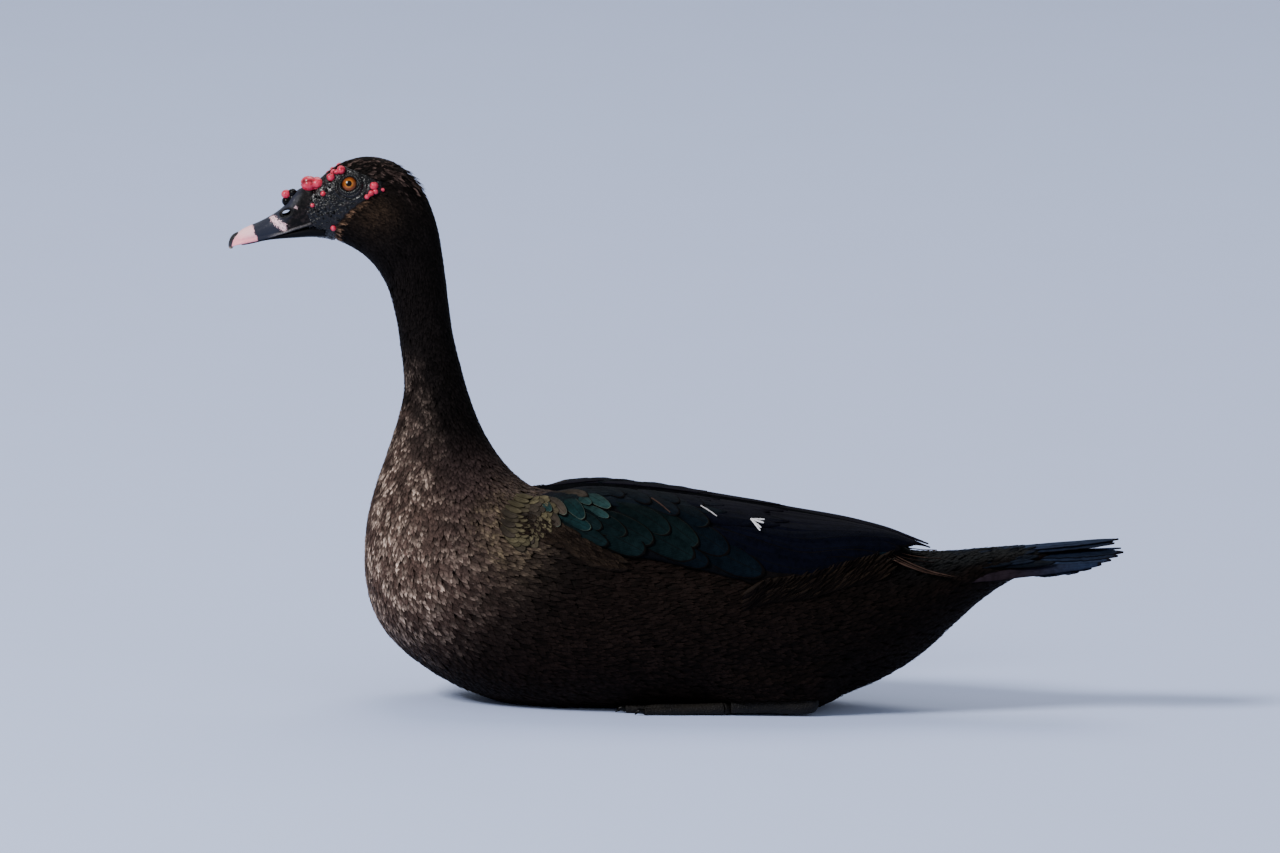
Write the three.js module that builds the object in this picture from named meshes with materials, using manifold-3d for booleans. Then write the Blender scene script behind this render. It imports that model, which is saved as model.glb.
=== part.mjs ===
// A life-size muscovy duck, afloat in life and here resting on its belly with its feet tucked under.
// Millimetres, +Z up. The bill points to -X, the bird's left side faces -Y, and Z = 0 is the floor.
import * as THREE from "three";
import { ConvexGeometry } from "three/addons/geometries/ConvexGeometry.js";
import { mergeVertices } from "three/addons/utils/BufferGeometryUtils.js";
import Module from "manifold-3d";

const wasm = await Module();
wasm.setup();

// Driving sizes
const DRAFT = 54; // how deep the bird floats: heights below are taken from the water line
const GAP = 0.3; // air between neighbouring pieces
const RING_POINTS = 32; // points round the body
const HEAD_POINTS = 24;
const LEFT = -1;
const RIGHT = 1;
const SIDES = [[LEFT, "left"], [RIGHT, "right"]];

const EYE_RADIUS = 7.5;
const EYE_OPENING = 5.6; // the radius that the lids leave open
const EYE = { x: -213, z: 308 };

const VANE = { thick: 0.6, rootLift: -1.5, tipLift: 0.5 }; // lifts are from the sheet it lies on
const FINEST = 0.03; // detail below this is dropped
const FEATHER_DETAIL = 0.1;

// Colours
const finish = (color, roughness, metalness = 0) =>
  new THREE.MeshStandardMaterial({ color, roughness, metalness });
const PLUMAGE = finish(0x1d1814, 0.75);
const GLOSSY = finish(0x10262a, 0.45, 0.2);
const BARE_SKIN = finish(0x1c1b1c, 0.5);
const CARUNCLE = finish(0xc23a48, 0.4);
const HORN = finish(0xc9a39c, 0.4);
const HORN_DARK = finish(0x2c2d34, 0.4);
const IRIS = finish(0xb5752a, 0.1);
const FOOT = finish(0x26221f, 0.7);

const point = (x, y, z) => new THREE.Vector3(x, y, z + DRAFT);

// The body is one lofted form from the bill's base to the root of the tail. Each station is a ring that crosses
// the body from a point on its upper outline to one on its lower outline.
// full moves the widest place towards the upper outline, and square makes the ring boxier as it falls below 1.
const STATIONS = [
  { part: "head", upper: [-246, 298], lower: [-238.5, 270], half: 10.5, full: -0.1, square: 0.95 },
  { upper: [-237, 305], lower: [-230.5, 268.5], half: 12.6, full: -0.1, square: 0.95 },
  { upper: [-227, 315.5], lower: [-221, 267], half: 15.2, full: -0.12, square: 0.95 },
  { upper: [-214, 323], lower: [-210.5, 263], half: 17.6, full: -0.15, square: 0.95 },
  { upper: [-198, 326], lower: [-200, 256.5], half: 20, full: -0.18, square: 0.95 },
  { upper: [-181.5, 322], lower: [-192, 248.5], half: 20.8, full: -0.15, square: 0.95 },
  { upper: [-168.5, 311.5], lower: [-186.3, 240], half: 20.2, full: -0.08, square: 0.97 },
  { part: "neck_upper", upper: [-157.5, 296.5], lower: [-182.6, 232.5], half: 19, full: 0, square: 1 },
  { upper: [-150, 277], lower: [-180, 224.5], half: 18.2, full: 0, square: 1 },
  { upper: [-145, 252], lower: [-177.6, 216], half: 17.6, full: 0, square: 1 },
  { upper: [-141, 225.5], lower: [-175.3, 206], half: 17.4, full: 0, square: 1 },
  { upper: [-137, 202], lower: [-173.4, 193.5], half: 17.6, full: 0, square: 1 },
  { part: "neck_lower", upper: [-131, 180], lower: [-171, 178.5], half: 18.4, full: 0, square: 1 },
  { upper: [-123.5, 156.5], lower: [-170, 161], half: 20.2, full: 0, square: 1 },
  { upper: [-114.5, 136], lower: [-173.5, 142], half: 24.5, full: 0, square: 1 },
  { upper: [-103, 118], lower: [-181, 116], half: 32, full: 0, square: 1 },
  { part: "torso", upper: [-90.5, 104.5], lower: [-189, 89.5], half: 43, full: 0, square: 1 },
  { upper: [-77, 95.5], lower: [-193.7, 61.5], half: 55, full: 0, square: 0.98 },
  { upper: [-60, 92.5], lower: [-192.5, 27], half: 65.5, full: -0.02, square: 0.95 },
  { upper: [-40, 93], lower: [-182, -2], half: 73, full: -0.04, square: 0.92 },
  { upper: [-17, 92], lower: [-158, -26], half: 77.5, full: -0.06, square: 0.9 },
  { upper: [9, 89.5], lower: [-122, -46], half: 80, full: -0.08, square: 0.88 },
  { upper: [38, 85.5], lower: [-77, -57.5], half: 80.5, full: -0.08, square: 0.87 },
  { upper: [72, 80], lower: [-20, -58.5], half: 79.5, full: -0.06, square: 0.87 },
  { upper: [107, 73.5], lower: [45, -58], half: 75.5, full: -0.03, square: 0.88 },
  { upper: [139, 66.5], lower: [106, -54.5], half: 67.5, full: 0, square: 0.9 },
  { upper: [168, 60.5], lower: [156, -39], half: 57, full: 0.05, square: 0.93 },
  { upper: [193, 57], lower: [193, -18], half: 46, full: 0.1, square: 0.97 },
  { part: "rump", upper: [214, 57], lower: [219, 6], half: 37, full: 0.15, square: 1 },
  { upper: [233, 59], lower: [239, 25], half: 30.5, full: 0.15, square: 1 },
  { upper: [252, 61], lower: [258, 38.5], half: 26, full: 0.1, square: 1 },
  { upper: [270, 62.5], lower: [275, 46], half: 20, full: 0, square: 1 },
  { upper: [284, 62.5], lower: [287, 52.5], half: 12, full: 0, square: 1 },
];
const LAST = STATIONS.length - 1;
const station = (part) => STATIONS.findIndex((s) => s.part === part);

const through = (points) => new THREE.CatmullRomCurve3(points, false, "catmullrom", 0.5);
const upperLine = through(STATIONS.map((s) => point(s.upper[0], 0, s.upper[1])));
const lowerLine = through(STATIONS.map((s) => point(s.lower[0], 0, s.lower[1])));
const formLine = through(STATIONS.map((s) => new THREE.Vector3(s.half, s.full, s.square)));

// The folded thighs keep the lower body wide: widths are shares of a station's own half width, by height
const THIGH = {
  from: 40, to: 148, fade: 30, // along x
  heights: [4, 12, 24, 40], widths: [0.55, 0.9, 0.955, 0.96],
};

function thighShare(x) {
  const { from, to, fade } = THIGH;
  return THREE.MathUtils.smoothstep(x, from, from + fade) * (1 - THREE.MathUtils.smoothstep(x, to - fade, to));
}

function thighWidth(z) {
  const { heights, widths } = THIGH;
  if (z <= heights[0] || z >= heights.at(-1)) return 0;
  const i = heights.findIndex((h) => h > z);
  const share = (z - heights[i - 1]) / (heights[i] - heights[i - 1]);
  return THREE.MathUtils.lerp(widths[i - 1], widths[i], share);
}

// A point of the body's skin: t counts stations, and angle runs from the upper outline (0) round the side to the
// lower one (pi). A negative angle is on the bird's left.
function skin(t, angle, grow = 0) {
  const u = THREE.MathUtils.clamp(t / LAST, 0, 1);
  const upper = upperLine.getPoint(u);
  const lower = lowerLine.getPoint(u);
  const [half, full, square] = formLine.getPoint(u).toArray();
  const soften = (v) => Math.sign(v) * Math.abs(v) ** square;
  const across = soften(Math.cos(angle));
  const along = across + full * (1 - across * across);
  const reach = upper.clone().sub(lower).setLength(grow * along);
  const place = lower.lerp(upper, (along + 1) / 2).add(reach);
  const width = (half + grow) * Math.abs(soften(Math.sin(angle)));
  const wider = Math.max(0, half * thighWidth(place.z + grow) + grow - width) * thighShare(place.x);
  return place.setY(Math.sign(Math.sin(angle)) * (width + wider));
}

function skinNormal(t, angle) {
  const step = 0.02;
  const alongBody = skin(t + step, angle).sub(skin(t - step, angle));
  const roundBody = skin(t, angle + step).sub(skin(t, angle - step));
  return alongBody.cross(roundBody).normalize();
}

// Meshes and solids
function solid(geometry) {
  geometry.deleteAttribute("normal");
  geometry.deleteAttribute("uv");
  const merged = mergeVertices(geometry, 1e-4);
  return new wasm.Manifold(
    new wasm.Mesh({
      numProp: 3,
      vertProperties: new Float32Array(merged.attributes.position.array),
      triVerts: new Uint32Array(merged.index.array),
    }),
  );
}

// A closed skin over rings of equal length, with a cap on the first ring and on the last
function loft(rings) {
  const count = rings[0].length;
  const places = rings.flat();
  const faces = [];
  for (let r = 0; r + 1 < rings.length; r++)
    for (let i = 0; i < count; i++) {
      const [a, b] = [r * count + i, r * count + ((i + 1) % count)];
      faces.push(a, a + count, b, b, a + count, b + count);
    }
  for (const [r, turn] of [[0, false], [rings.length - 1, true]]) {
    const middle = rings[r].reduce((sum, p) => sum.add(p), new THREE.Vector3()).divideScalar(count);
    const hub = places.push(middle) - 1;
    for (let i = 0; i < count; i++) {
      const [a, b] = [r * count + i, r * count + ((i + 1) % count)];
      faces.push(...(turn ? [hub, b, a] : [hub, a, b]));
    }
  }
  return outward(places, faces);
}

function outward(places, faces) {
  let volume = 0;
  for (let i = 0; i < faces.length; i += 3) {
    const [a, b, c] = [places[faces[i]], places[faces[i + 1]], places[faces[i + 2]]];
    volume += a.dot(b.clone().cross(c));
  }
  if (volume < 0)
    for (let i = 0; i < faces.length; i += 3)
      [faces[i + 1], faces[i + 2]] = [faces[i + 2], faces[i + 1]];
  const geometry = new THREE.BufferGeometry().setFromPoints(places);
  geometry.setIndex(faces);
  return solid(geometry);
}

const join = (pieces) => wasm.Manifold.union(pieces);

// The largest closed surface of a solid
function whole(made) {
  const pieces = made.decompose();
  return pieces.reduce((a, b) => (b.volume() > a.volume() ? b : a));
}

const group = new THREE.Group();
function node(name, material, made, detail = FINEST) {
  const mesh = whole(whole(made).asOriginal().simplify(detail)).getMesh();
  const geometry = new THREE.BufferGeometry();
  geometry.setAttribute("position", new THREE.BufferAttribute(new Float32Array(mesh.vertProperties), 3));
  geometry.setIndex(new THREE.BufferAttribute(new Uint32Array(mesh.triVerts), 1));
  geometry.computeVertexNormals();
  const added = new THREE.Mesh(geometry, material);
  added.name = name;
  group.add(added);
}

// The stations at which each length of the body has its rings
const NECK_STEP = 0.012; // the part of a station that leaves the gap between two lengths
const BODY_STEP = 0.016;
const span = (from, to, count) =>
  Array.from({ length: count }, (_, i) => from + ((to - from) * i) / (count - 1));
const HEAD_RINGS = span(0, station("neck_upper") - NECK_STEP, 13);
const UPPER_RINGS = span(station("neck_upper"), station("neck_lower") - NECK_STEP, 9);
const LOWER_RINGS = span(station("neck_lower"), station("torso") - NECK_STEP, 8);
const TORSO_RINGS = span(station("torso"), station("rump") - BODY_STEP, 21);
const TAIL_FROM = 30.4; // the station where the rump ends and the tail begins
const RUMP_RINGS = span(station("rump"), TAIL_FROM - BODY_STEP, 5);
const TAIL_RINGS = span(TAIL_FROM, LAST, 4);

// A length of the body, or the same length grown by a gap to cut its neighbours with
const flesh = (stations, points = RING_POINTS, grow = 0) =>
  loft(stations.map((t) => span(0, 2 * Math.PI, points + 1).slice(0, -1).map((a) => skin(t, a, grow))));

const floor = solid(new THREE.BoxGeometry(900, 500, 100).translate(0, 0, -50));
const sphere = (radius, at, segments) =>
  new THREE.SphereGeometry(radius, segments, segments / 2).translate(...at.toArray());
const ball = (radius, at, segments = 10) => solid(sphere(radius, at, segments));

// A limb between balls, each given by its place and its radius
function limb(balls, segments = 6) {
  const places = [];
  for (const [x, y, z, radius] of balls) {
    const { position } = sphere(radius, new THREE.Vector3(x, y, z), segments).attributes;
    for (let i = 0; i < position.count; i++) places.push(new THREE.Vector3().fromBufferAttribute(position, i));
  }
  return solid(new ConvexGeometry(places));
}
const bulbs = (list, grow = 0) => join(list.map(([x, y, z, r]) => ball(r + grow, point(x, y, z), 8)));

// A place on the body's skin that has two wanted coordinates, on the bird's left or right side
function seek(wanted, side) {
  const axes = Object.keys(wanted);
  const miss = (t, angle) => {
    const here = skin(t, angle).sub(point(0, 0, 0));
    return axes.map((axis) => wanted[axis] - here[axis]);
  };
  let best = [0, side];
  let least = Infinity;
  for (let t = 0.2; t < LAST; t += 0.4)
    for (let angle = 0.05; angle < (axes.includes("y") ? 1.5 : 3); angle += 0.15) {
      const far = Math.hypot(...miss(t, side * angle));
      if (far < least) [least, best] = [far, [t, side * angle]];
    }
  let [t, angle] = best;
  const step = 0.005;
  for (let i = 0; i < 12; i++) {
    const [m0, m1] = miss(t, angle);
    const [t0, t1] = miss(t + step, angle);
    const [a0, a1] = miss(t, angle + step);
    const [j00, j01, j10, j11] = [(m0 - t0) / step, (m0 - a0) / step, (m1 - t1) / step, (m1 - a1) / step];
    const det = j00 * j11 - j01 * j10;
    if (Math.abs(det) < 1e-9) break;
    t += THREE.MathUtils.clamp((m0 * j11 - m1 * j01) / det, -0.5, 0.5);
    angle += THREE.MathUtils.clamp((m1 * j00 - m0 * j10) / det, -0.4, 0.4);
    t = THREE.MathUtils.clamp(t, 0.05, LAST - 0.05);
  }
  return { t, angle, at: skin(t, angle), normal: skinNormal(t, angle) };
}

// Bill: the upper half is a vault over a flat sole, and the lower half lies in a hollow of it
const BILL_RINGS = [
  { x: -240, top: 303, edge: 277.6, half: 11 },
  { x: -247, top: 296, edge: 275.1, half: 11.2 },
  { x: -254, top: 290.5, edge: 273, half: 10.8 },
  { x: -261, top: 286, edge: 270.9, half: 10.2 },
  { x: -268, top: 281.6, edge: 268.5, half: 10 },
  { x: -275, top: 278.4, edge: 266.3, half: 10.6 },
  { x: -281, top: 275.6, edge: 264.9, half: 11.2 },
  { x: -286.5, top: 272.6, edge: 263.6, half: 10.8 },
  { x: -290.5, top: 269.2, edge: 262.4, half: 8.6 },
  { x: -292.6, top: 266.4, edge: 261.3, half: 5.6 },
  { x: -293.4, top: 264.4, edge: 260.9, half: 2.6 },
];
const LOWER_BILL_RINGS = [
  { x: -229, top: 277, edge: 269, half: 10.2 },
  { x: -240, top: 276.7, edge: 268.8, half: 10 },
  { x: -250, top: 274.1, edge: 268, half: 9.6 },
  { x: -260, top: 271.9, edge: 267.1, half: 8.8 },
  { x: -270, top: 269.3, edge: 265.7, half: 8.4 },
  { x: -280, top: 266.5, edge: 263.2, half: 8 },
  { x: -286.5, top: 264.6, edge: 261.8, half: 4.6 },
];
const vault = (rings) =>
  loft(rings.map(({ x, top, edge, half }) =>
    span(-Math.PI / 2, Math.PI / 2, 15).map((a) =>
      point(x, half * Math.sign(a) * Math.abs(Math.sin(a)) ** 0.85, edge + (top - edge) * Math.cos(a) ** 0.8))));
const trough = (rings, grow = 0) =>
  loft(rings.map(({ x, top, edge, half }) =>
    span(0, 2 * Math.PI, 17).slice(0, -1).map((a) => {
      const rise = Math.sign(Math.cos(a)) * Math.abs(Math.cos(a)) ** 0.7;
      return point(x, (half + grow) * Math.sin(a), (top + edge) / 2 + ((top - edge) / 2 + grow) * rise);
    })));
const NOSTRIL = { x: -256, z: 286, long: 6, tall: 3, tilt: 0.4 };
const NAIL = [[-288, 266, 5.2], [-291.5, 264.2, 3.6], [-293, 260.8, 1.7]]; // x, z and radius, down to the hook

const nostril = solid(
  new THREE.CylinderGeometry(1, 1, 40, 14)
    .scale(NOSTRIL.long / 2, 1, NOSTRIL.tall / 2)
    .rotateY(-NOSTRIL.tilt)
    .translate(...point(NOSTRIL.x, 0, NOSTRIL.z).toArray()),
);
const nailSolid = (grow) => {
  const beads = NAIL.map(([x, z, radius]) => [x, 0, z + DRAFT, radius + grow]);
  return join([limb(beads.slice(0, 2), 12), limb(beads.slice(1), 12)]);
};

// Head: eyes in sockets, lids round them, and caruncles of bare red skin
const LID = { major: 6.2, minor: 1.1 };
const CARUNCLES = [
  [-225.8, 311.6, 3], [-224.1, 315.2, 2], [-221.4, 315, 1.8], [-218.4, 316.3, 3],
  [-230.8, 300.7, 2], [-238.1, 292.1, 1.5], [-223.2, 277, 2],
  [-196.1, 307.7, 3], [-197.7, 302.4, 2], [-194.8, 303.9, 1.7], [-200.6, 299.8, 1.8], [-189.7, 305, 1.4],
]; // x, z and radius, on either side
const KNOB = [[-255.6, 0, 298, 3.1], [-252, 1.6, 299.4, 2.4], [-252, -1.6, 299.4, 2.4], [-253.8, 0, 295, 3.6]];
const FOREHEAD = [
  [-241.6, 3, 305, 4.3], [-235.8, 3.2, 305.4, 4.3], [-241.6, -3, 305, 4.3], [-235.8, -3.2, 305.4, 4.3],
  [-238.6, 0, 304.5, 4.4],
];

const sockets = [];
const faceForms = [];
for (const [side, name] of SIDES) {
  const spot = seek({ x: EYE.x, z: EYE.z }, side);
  const eye = spot.at.clone().addScaledVector(spot.normal, -Math.sqrt(EYE_RADIUS ** 2 - EYE_OPENING ** 2));
  node(`eye_${name}`, IRIS, ball(EYE_RADIUS, eye, 14));
  sockets.push(ball(EYE_RADIUS + GAP, eye, 14));
  const lid = new THREE.TorusGeometry(LID.major, LID.minor, 4, 14);
  lid.applyQuaternion(new THREE.Quaternion().setFromUnitVectors(new THREE.Vector3(0, 0, 1), spot.normal));
  faceForms.push(solid(lid.translate(...spot.at.toArray())));
  for (const [x, z, radius] of CARUNCLES) {
    const seat = seek({ x, z }, side);
    faceForms.push(ball(radius, seat.at.addScaledVector(seat.normal, radius * 0.3), 8));
  }
}

const lowerBill = trough(LOWER_BILL_RINGS);
const headSolid = join([flesh(HEAD_RINGS, HEAD_POINTS), ...faceForms])
  .subtract(join([...sockets, bulbs(KNOB, GAP), bulbs(FOREHEAD, GAP), trough(LOWER_BILL_RINGS, GAP)]));
const headCut = flesh(HEAD_RINGS, HEAD_POINTS, GAP);
const billCut = join([headCut, trough(LOWER_BILL_RINGS, GAP), nostril, bulbs(KNOB, GAP), bulbs(FOREHEAD, GAP)]);
node("head", PLUMAGE, headSolid);
node("bill_lower", HORN_DARK, lowerBill);
node("bill_upper", HORN_DARK, vault(BILL_RINGS).subtract(join([billCut, nailSolid(GAP)])));
node("bill_nail", HORN, nailSolid(0).subtract(trough(LOWER_BILL_RINGS, GAP)));
node("bill_knob", CARUNCLE, bulbs(KNOB));
node("forehead_caruncle", CARUNCLE, bulbs(FOREHEAD));

node("neck_upper", PLUMAGE, flesh(UPPER_RINGS, 24));
node("neck_lower", PLUMAGE, flesh(LOWER_RINGS));
const bodyCut = flesh([...LOWER_RINGS, ...TORSO_RINGS, ...RUMP_RINGS], RING_POINTS, GAP);
node("rump", PLUMAGE, flesh(RUMP_RINGS));
node("torso", PLUMAGE, flesh(TORSO_RINGS).subtract(floor));

// Wings: each is a folded slab over the body's skin, between an edge near the spine and an edge down the flank.
// inner is x and y of the edge near the spine, outer x and z of the edge down the flank; lifts are from the skin
// at the inner edge, at the ridge and at the outer edge.
const WING = [
  { inner: [-82, 34], outer: [-88, 80], lifts: [1, 2, 1] },
  { inner: [-70, 20], outer: [-72, 66], lifts: [4, 7, 3] },
  { inner: [-45, 13], outer: [-42, 60], lifts: [7, 11.5, 3.5] },
  { inner: [-5, 12], outer: [0, 56], lifts: [8, 12, 4] },
  { inner: [30, 10], outer: [38, 49], lifts: [9, 12, 4] },
  { inner: [62, 8], outer: [66, 43], lifts: [10, 12, 4] },
  { inner: [100, 6], outer: [105, 38], lifts: [11, 12.5, 4] },
  { inner: [138, 4.5], outer: [140, 48.5], lifts: [12.5, 14, 4.5] },
  { inner: [168, 3.5], outer: [168, 53.5], lifts: [12, 13, 5] },
  { inner: [188, 5], outer: [187, 54], lifts: [8.5, 9, 5] },
  { inner: [203, 9], outer: [200, 55.5], lifts: [4.5, 5, 4] },
];
const WING_SUNK = 3; // how far the slab starts under the skin before the body is cut out of it
const WING_BED = -1.2; // the slab's lift under the feathers
const WING_REACH = 0.93; // the part of the wing that the slab fills; only feathers go on to the tip
const RIDGE = 0.32; // where across the wing its ridge lies
const WING_ACROSS = 7;

// Feathers of the folded wing, lowest tier first. Roots and tips run between two places on the wing, each given as
// its share of the way back and of the way down the flank.
const WING_TIERS = [
  { count: 5, roots: [[0.62, 0.72], [0.66, 0.22]], tips: [[0.91, 0.8], [1, 0.3]], half: 6.5, free: true },
  { count: 4, roots: [[0.5, 0.88], [0.6, 0.58]], tips: [[0.7, 0.97], [0.88, 0.7]], half: 8.5 },
  { count: 4, roots: [[0.52, 0.5], [0.46, 0.1]], tips: [[0.84, 0.55], [0.9, 0.12]], half: 9.5 },
  { count: 6, roots: [[0.3, 0.86], [0.38, 0.5]], tips: [[0.46, 0.96], [0.56, 0.5]], half: 9.5 },
  { count: 5, roots: [[0.18, 0.86], [0.24, 0.48]], tips: [[0.3, 0.93], [0.37, 0.48]], half: 9 },
  { count: 3, roots: [[0.06, 0.74], [0.09, 0.48]], tips: [[0.18, 0.86], [0.23, 0.47]], half: 9.5 },
  { count: 3, roots: [[0.33, 0.36], [0.31, 0.1]], tips: [[0.56, 0.38], [0.58, 0.1]], half: 9 },
  { count: 3, roots: [[0.1, 0.34], [0.1, 0.1]], tips: [[0.36, 0.36], [0.38, 0.1]], half: 9 },
];

// A feather's half width on the way from its root to its rounded tip, for a long feather and for a short one
const LONG_OUTLINE = [[0, 0.75], [0.5, 1], [0.86, 0.85], [1, 0.3]];
const SHORT_OUTLINE = [[0, 0.8], [0.72, 1], [1, 0.4]];

// A thin closed blade that lies on a sheet. The sheet turns two shares and a lift into a place.
// Where bed is given the blade reaches down to that lift, so that no air is shut in under it.
function vane(sheet, root, tip, options) {
  const { half, rootLift = VANE.rootLift, tipLift = VANE.tipLift, tilt = 0, bed, outline = SHORT_OUTLINE } = options;
  const step = 0.004;
  const rings = outline.map(([s, wide]) => {
    const u = THREE.MathUtils.lerp(root[0], tip[0], s);
    const v = THREE.MathUtils.lerp(root[1], tip[1], s);
    const lift = THREE.MathUtils.lerp(rootLift, tipLift, s ** 0.7);
    const here = sheet(u, v, 0);
    const du = sheet(u - step, v, 0).sub(here).divideScalar(-step);
    const dv = sheet(u, v - step, 0).sub(here).divideScalar(-step);
    const heading = du.clone().multiplyScalar(tip[0] - root[0]).addScaledVector(dv, tip[1] - root[1]);
    const across = du.clone().cross(dv).cross(heading).setLength(half * wide);
    const [a, b, c] = [du.dot(du), du.dot(dv), dv.dot(dv)];
    const [p, q] = [du.dot(across), dv.dot(across)];
    const det = a * c - b * b;
    const [su, sv] = [(c * p - b * q) / det, (a * q - b * p) / det];
    const edge = (sign, rise) => sheet(u + sign * su, v + sign * sv, rise);
    const [low, high] = [-1, 1].map((sign) => lift + sign * tilt);
    return [edge(-1, bed ?? low - VANE.thick), edge(1, bed ?? high - VANE.thick), edge(1, high), edge(-1, low)];
  });
  return blade(rings);
}

// Rings of four corners: under left, under right, over right and over left. Both faces split alike.
function blade(rings) {
  const faces = [];
  const last = (rings.length - 1) * 4;
  for (let r = 0; r < last; r += 4) {
    const [a, b, c, d] = [r, r + 1, r + 2, r + 3];
    const [e, f, g, h] = [r + 4, r + 5, r + 6, r + 7];
    faces.push(a, b, f, a, f, e, d, g, c, d, h, g);
    faces.push(b, c, g, b, g, f, a, e, h, a, h, d);
  }
  faces.push(0, 2, 1, 0, 3, 2, last, last + 1, last + 2, last, last + 2, last + 3);
  return outward(rings.flat(), faces);
}

function wingSheet(side) {
  const inner = WING.map((w) => seek({ x: w.inner[0], y: side * w.inner[1] }, side));
  const outer = WING.map((w) => seek({ x: w.outer[0], z: w.outer[1] }, side));
  const innerLine = through(inner.map((p) => new THREE.Vector3(p.t, p.angle, 0)));
  const outerLine = through(outer.map((p) => new THREE.Vector3(p.t, p.angle, 0)));
  const lifts = through(WING.map((w) => new THREE.Vector3(...w.lifts)));
  const onSkin = (u, v, rise) => {
    const across = innerLine.getPoint(u).lerp(outerLine.getPoint(u), v);
    return skin(across.x, across.y).addScaledVector(skinNormal(across.x, across.y), rise);
  };
  const upper = (u, v, lift) => {
    const [low, ridge, edge] = lifts.getPoint(u).toArray();
    const [border, share] = v < RIDGE ? [low, v / RIDGE] : [edge, (1 - v) / (1 - RIDGE)];
    return onSkin(u, v, THREE.MathUtils.lerp(border, ridge, Math.sin((share * Math.PI) / 2)) + lift);
  };
  const within = (make) => (u, v, lift) =>
    make(THREE.MathUtils.clamp(u, 0, 1), THREE.MathUtils.clamp(v, 0, 1.05), lift);
  return { upper: within(upper), under: within(onSkin) };
}

function tier(sheet, { count, roots, tips, half, free }, tilt) {
  const between = ([from, to], share) => from.map((value, i) => THREE.MathUtils.lerp(value, to[i], share));
  return span(0, 1, count).map((share, i) =>
    vane(sheet, between(roots, share), between(tips, share), {
      half, tilt, tipLift: VANE.tipLift + 0.2 * i, bed: free ? undefined : 2 * WING_BED,
      outline: free ? LONG_OUTLINE : SHORT_OUTLINE,
    }));
}

for (const [side, name] of SIDES) {
  const { upper, under } = wingSheet(side);
  const slab = loft(span(0, WING_REACH, 15).map((u) => {
    const row = span(0, 1, WING_ACROSS);
    return [...row.map((v) => upper(u, v, WING_BED)), ...row.reverse().map((v) => under(u, v, -WING_SUNK))];
  }));
  const feathers = WING_TIERS.flatMap((rows) => tier(upper, rows, side * 0.5));
  node(`wing_${name}`, GLOSSY, join([slab, ...feathers]).subtract(bodyCut), FEATHER_DETAIL);
}

// Tail: eighteen long feathers in a flat fan, and short coverts that hide their roots
const TAIL = { pairs: 9, rootX: 266, rootZ: 61, rise: 0.1, arch: 0.004, half: 9.5, stack: 0.9 };
const TAIL_TIPS = [333, 335, 335, 333, 330, 325, 318, 308, 295]; // from the middle pair outwards
const TAIL_TURN = { first: 1.2, step: 2.7 }; // degrees from the middle
const tailSheet = (x, y, lift) =>
  point(x, y, TAIL.rootZ + TAIL.rise * (x - TAIL.rootX) - TAIL.arch * y * y + lift);

const tailVanes = [];
for (let pair = 0; pair < TAIL.pairs; pair++)
  for (const [side] of SIDES) {
    const turn = Math.tan(((TAIL_TURN.first + TAIL_TURN.step * pair) * Math.PI) / 180);
    const root = [TAIL.rootX, side * (1 + 1.9 * pair)];
    const tip = [TAIL_TIPS[pair], root[1] + side * turn * (TAIL_TIPS[pair] - TAIL.rootX)];
    const low = -TAIL.stack * (2 * pair + (side === RIGHT ? 1 : 0));
    const lifts = { rootLift: low, tipLift: low };
    tailVanes.push(vane(tailSheet, root, tip, { half: TAIL.half, ...lifts, outline: LONG_OUTLINE }));
  }

// Coverts lie on the tail's own flesh, three over it and three under it, from one station to another
const COVERT = { from: 30.5, half: 9, tipLift: 1, bed: -2 };
const COVERT_ROWS = [
  { to: LAST - 0.05, angles: [-0.75, 0, 0.75] },
  { to: LAST - 0.4, angles: [Math.PI - 0.8, Math.PI, Math.PI + 0.8] },
];
const coverts = COVERT_ROWS.flatMap(({ to, angles }) =>
  angles.map((angle) => vane(skin, [COVERT.from, angle], [to, angle], COVERT)));
node("tail", PLUMAGE, join([flesh(TAIL_RINGS), ...tailVanes, ...coverts]), FEATHER_DETAIL);

// Legs and feet, tucked under the belly with the soles on the floor and the toes pointing forward
const LEG = { knee: [92, 46, 34, 9], hock: [116, 53, 7.4, 5.6], ankle: [62, 59, 6, 4.4] }; // x, y, height and radius
const TOES = [
  { turn: -10, lengths: [34, 22], radius: 3.2 },
  { turn: 0, lengths: [42, 26], radius: 3.4 },
  { turn: 10, lengths: [40, 22], radius: 3.2 },
];
const CLAW = 7;
const HALLUX = { back: 12, inward: 7 };
const WEB = { height: 1.5, thick: 1.6 };
const LEG_LIFT = 0.6; // the leg stays this far off the floor

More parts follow.
